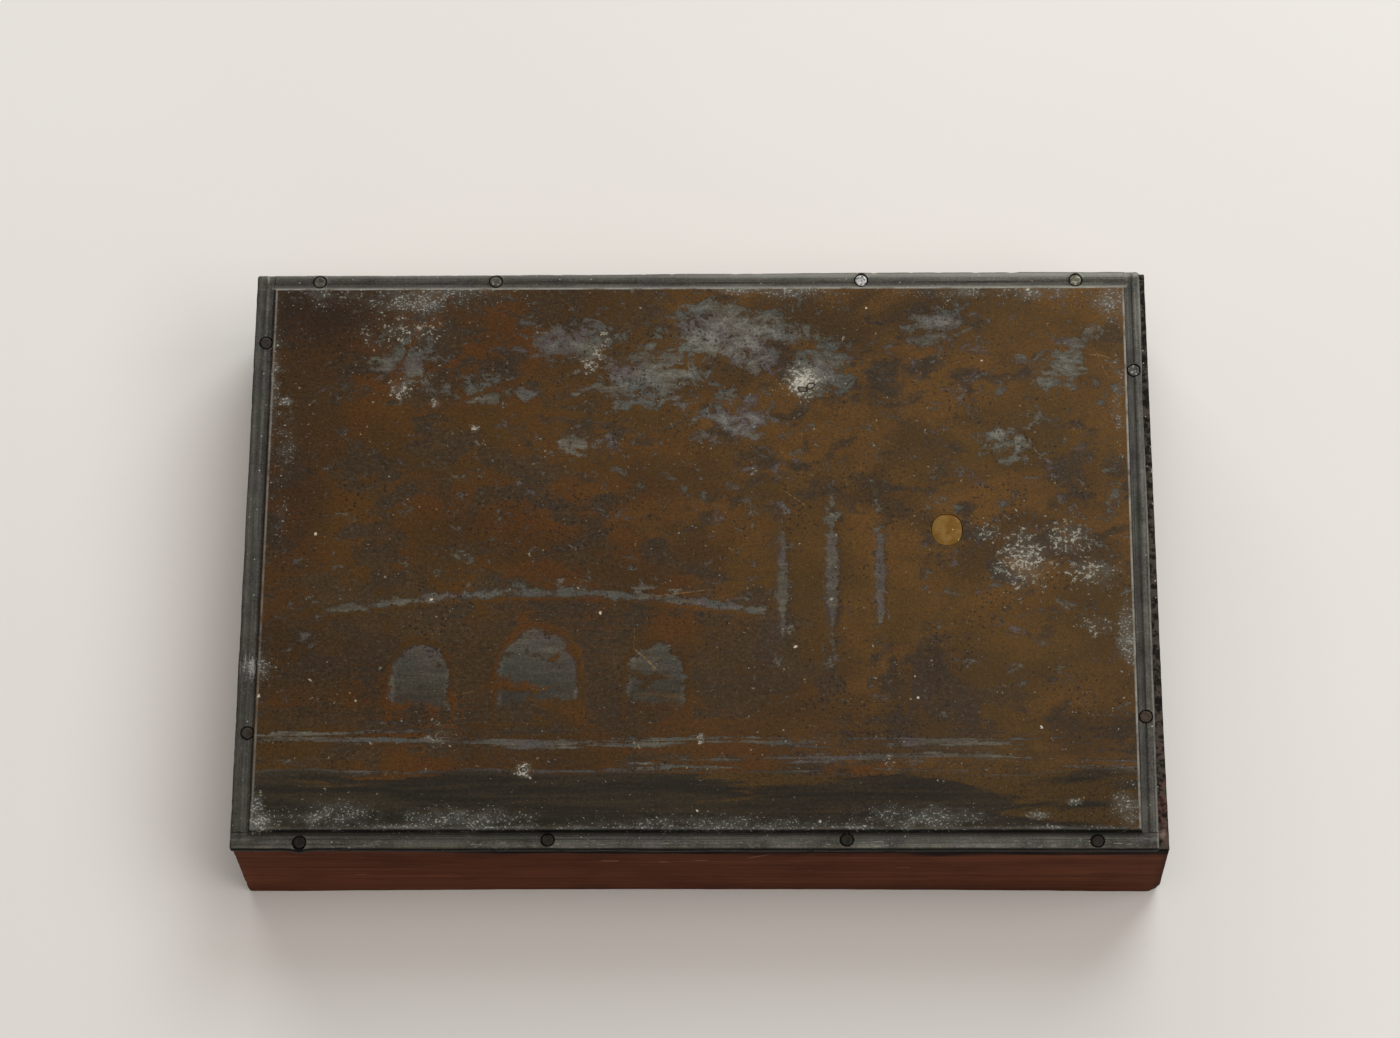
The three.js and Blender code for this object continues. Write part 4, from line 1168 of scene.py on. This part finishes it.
for number, (name, middle) in enumerate(nail_middles.items()):
    node_low, node_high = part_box(name)
    head_foot = node_high.z / mm - head_and_dome
    bpy.ops.object.select_all(action="DESELECT")
    bpy.ops.mesh.primitive_cylinder_add(
        vertices=40, radius=head_radius * mm, depth=head_height * mm,
        location=(middle.x * mm, middle.y * mm, (head_foot + head_height / 2) * mm),
    )
    nail = start_edit(name.replace("nail", "punched_nail"))
    pick("FACE", lambda face: face.normal.z < -0.9)
    bpy.ops.mesh.inset(thickness=(head_radius - shank_radius) * mm)
    draw_out((head_foot - node_low.z / mm - point_length) * mm)
    draw_out(point_length * mm)
    bpy.ops.transform.resize(
        value=(point_share, point_share, 1.0),
        center_override=(middle.x * mm, middle.y * mm, node_low.z),
    )
    pick("FACE", lambda face: face.normal.z > 0.9)
    for ring_step in (head_ease, 0.25, 0.25):
        bpy.ops.mesh.inset(thickness=ring_step * mm)
    bpy.ops.object.mode_set(mode="OBJECT")
    rows = places(nail)
    east, north = rows[:, 0] / mm - middle.x, rows[:, 1] / mm - middle.y
    gap = np.hypot(east, north)
    top = rows[:, 2] / mm > head_foot + head_height / 2
    lean = 0.05 * np.cos(np.arctan2(north, east) + 1.9 * number)
    dish = 0.07 * smooth(0.95, 0.8, gap) - 0.05 * smooth(0.7, 0.2, gap)
    ding = 0.05 * rough(rows, (1.6, 1.6, 0.0), 211.0 + 7 * number, 3)
    rows[:, 2] += np.where(top, (dish + lean * gap + ding - 0.05) * mm, 0.0)
    set_places(nail, rows)
    bpy.ops.object.shade_smooth_by_angle(angle=math.radians(40))
    steel = Nodes("nail_head_" + name)
    crusted = steel.noise((1.3, 1.3, 1.3), 4.0, 0.65, (float(number), 2.0, 0.0))
    rub = steel.noise((2.4, 2.4, 2.4), 3.0, 0.6, (4.0, float(number), 0.0))
    red, green, blue = head_tones_and_shade[name]
    share = 0.8 * rubbed_and_highlit_heads.get(name, 0.0)
    pale_crust = srgb(1.35 * red, 1.33 * green, 1.3 * blue)
    dark_steel = steel.blend(steel.step(crusted, 0.4, 0.6), srgb(red, green, blue), pale_crust)
    bright_steel_and_highlight = steel.blend(
        steel.step(rub, 0.35, 0.6), srgb(120, 119, 116), srgb(196, 196, 193),
    )
    rubbed_and_highlit = steel.times(steel.step(rub, 0.65 - 0.4 * share, 0.8 - 0.4 * share), share)
    steel.finish(
        nail,
        Base_Color=steel.blend(rubbed_and_highlit, dark_steel, bright_steel_and_highlight),
        Roughness=steel.step(crusted, 0.2, 0.8, 0.4, 0.65),
        Metallic=0.6,
        Specular_IOR_Level=0.2,
        Normal=steel.bump(crusted, 0.00004, 0.5),
    )
    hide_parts(name)
    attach(nail, "root")


# The anchor rivet. A dull yellow-brown metal pin through the plate into the wood, hammered over
# and dressed off flush with the face, so that only a disc shows, not quite round.
rivet_low, rivet_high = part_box("anchor_rivet")
rivet_head_height = 1.0 * mm
rivet_shoulder = 1.3 * mm
bpy.ops.object.select_all(action="DESELECT")
bpy.ops.mesh.primitive_cylinder_add(
    vertices=72, radius=rivet_radius * mm, depth=rivet_head_height,
    location=(rivet_middle.x * mm, rivet_middle.y * mm, rivet_high.z - rivet_head_height / 2),
)
rivet = start_edit("dressed_rivet")
pick("FACE", lambda face: face.normal.z < -0.9)
bpy.ops.mesh.inset(thickness=rivet_shoulder)
draw_out(rivet_high.z - rivet_head_height - rivet_low.z)
pick("FACE", lambda face: face.normal.z > 0.9)
for ring_step in (0.08, 0.25, 0.5, 0.6, 0.5):
    bpy.ops.mesh.inset(thickness=ring_step * mm)
bpy.ops.object.mode_set(mode="OBJECT")
rows = places(rivet)
east, north = rows[:, 0] / mm - rivet_middle.x, rows[:, 1] / mm - rivet_middle.y
gap = np.hypot(east, north)
top = rows[:, 2] > rivet_high.z - rivet_head_height / 2
turn = np.arctan2(north, east)
out_of_round = (np.abs(np.cos(turn)) * rivet_radius / rivet_half_x) ** squareness
out_of_round += (np.abs(np.sin(turn)) * rivet_radius / rivet_half_y) ** squareness
out_of_round = np.where(gap > rivet_radius / 2, out_of_round ** (-1 / squareness), 1.0)
dress = -0.07 * smooth(1.9, 2.42, gap) + 0.03 * rough(rows, (0.5, 0.5, 0.0), 301.0, 3)
rows[:, 0] = (rivet_middle.x + east * out_of_round) * mm
rows[:, 1] = (rivet_middle.y + north * out_of_round) * mm
rows[:, 2] += np.where(top, dress * mm, 0.0)
set_places(rivet, rows)
bpy.ops.object.shade_smooth_by_angle(angle=math.radians(40))
brass = Nodes("dressed_brass")
clouds = brass.noise((0.55, 0.6, 0.5), 4.0, 0.6, (3.0, 1.0, 0.0), 0.4)
scuffs = brass.noise((2.2, 3.4, 2.0), 4.0, 0.65)
# Small glints on the disc are painted highlights.
gap, chance = brass.cells(1.1, (2.0, 5.0, 0.0))
glint = brass.times(brass.step(chance, 0.72, 0.74), brass.step(gap, 0.16, 0.06))
brass.finish(
    rivet,
    Base_Color=brass.layers(
        brass.blend(brass.step(clouds, 0.38, 0.62), srgb(106, 74, 24), srgb(122, 93, 44)),
        (brass.step(scuffs, 0.5, 0.66), 0.4, srgb(96, 68, 26)),
        (glint, 0.75, srgb(206, 178, 128)),
    ),
    Roughness=brass.step(scuffs, 0.3, 0.7, 0.42, 0.6),
    Metallic=0.25,
    Specular_IOR_Level=0.12,
    Normal=brass.bump(scuffs, 0.00002, 0.5),
)
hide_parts("anchor_rivet")
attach(rivet, "root")


# The floor: a plain pale warm surface that runs on past the picture on every side.
bpy.ops.object.select_all(action="DESELECT")
bpy.ops.mesh.primitive_plane_add(size=8.0, location=(0.0, 0.0, 0.0))
floor = start_edit("floor")
bpy.ops.object.mode_set(mode="OBJECT")
paper = Nodes("pale_floor")
mottle = paper.noise((0.004, 0.004, 0.004), 3.0, 0.5)
paper.finish(
    floor,
    Base_Color=paper.blend(
        paper.step(mottle, 0.3, 0.7), srgb(226, 222, 217), srgb(231, 228, 223),
    ),
    Roughness=0.75,
)

# The light: soft boxes behind, above and at the right of the block, in a dim even room. Each row
# gives the angle round from the east, the height above the floor in degrees, the sides in metres,
# the power in watts and the colour.
light_distance = 1.2
world = bpy.data.worlds.new("room")
world.use_nodes = True
room_light = world.node_tree.nodes["Background"].inputs
room_light["Color"].default_value = (0.97, 0.985, 1.0, 1.0)
room_light["Strength"].default_value = 0.12
bpy.context.scene.world = world
for name, azimuth, elevation, size_across, size_up, power, tint in (
    ("key_box", 60, 47, 0.6, 0.8, 6.35, (0.93, 0.985, 1.0)),
    ("top_box", 300, 80, 1.0, 0.8, 4.6, (1.0, 0.88, 0.79)),
    ("right_box", 345, 49, 0.9, 0.5, 3.7, (0.97, 0.985, 1.0)),
    ("window_box", 104, 22, 1.0, 0.4, 6.8, (1.0, 0.985, 0.98)),
):
    box_data = bpy.data.lights.new(name, "AREA")
    box_data.shape = "RECTANGLE"
    box_data.size = size_across
    box_data.size_y = size_up
    box_data.energy = power
    box_data.color = tint
    soft_box = bpy.data.objects.new(name, box_data)
    bpy.context.scene.collection.objects.link(soft_box)
    turn, rise = math.radians(azimuth), math.radians(elevation)
    soft_box.location = light_distance * Vector((
        math.cos(turn) * math.cos(rise), math.sin(turn) * math.cos(rise), math.sin(rise),
    ))
    soft_box.rotation_mode = "QUATERNION"
    soft_box.rotation_quaternion = soft_box.location.to_track_quat("Z", "Y")
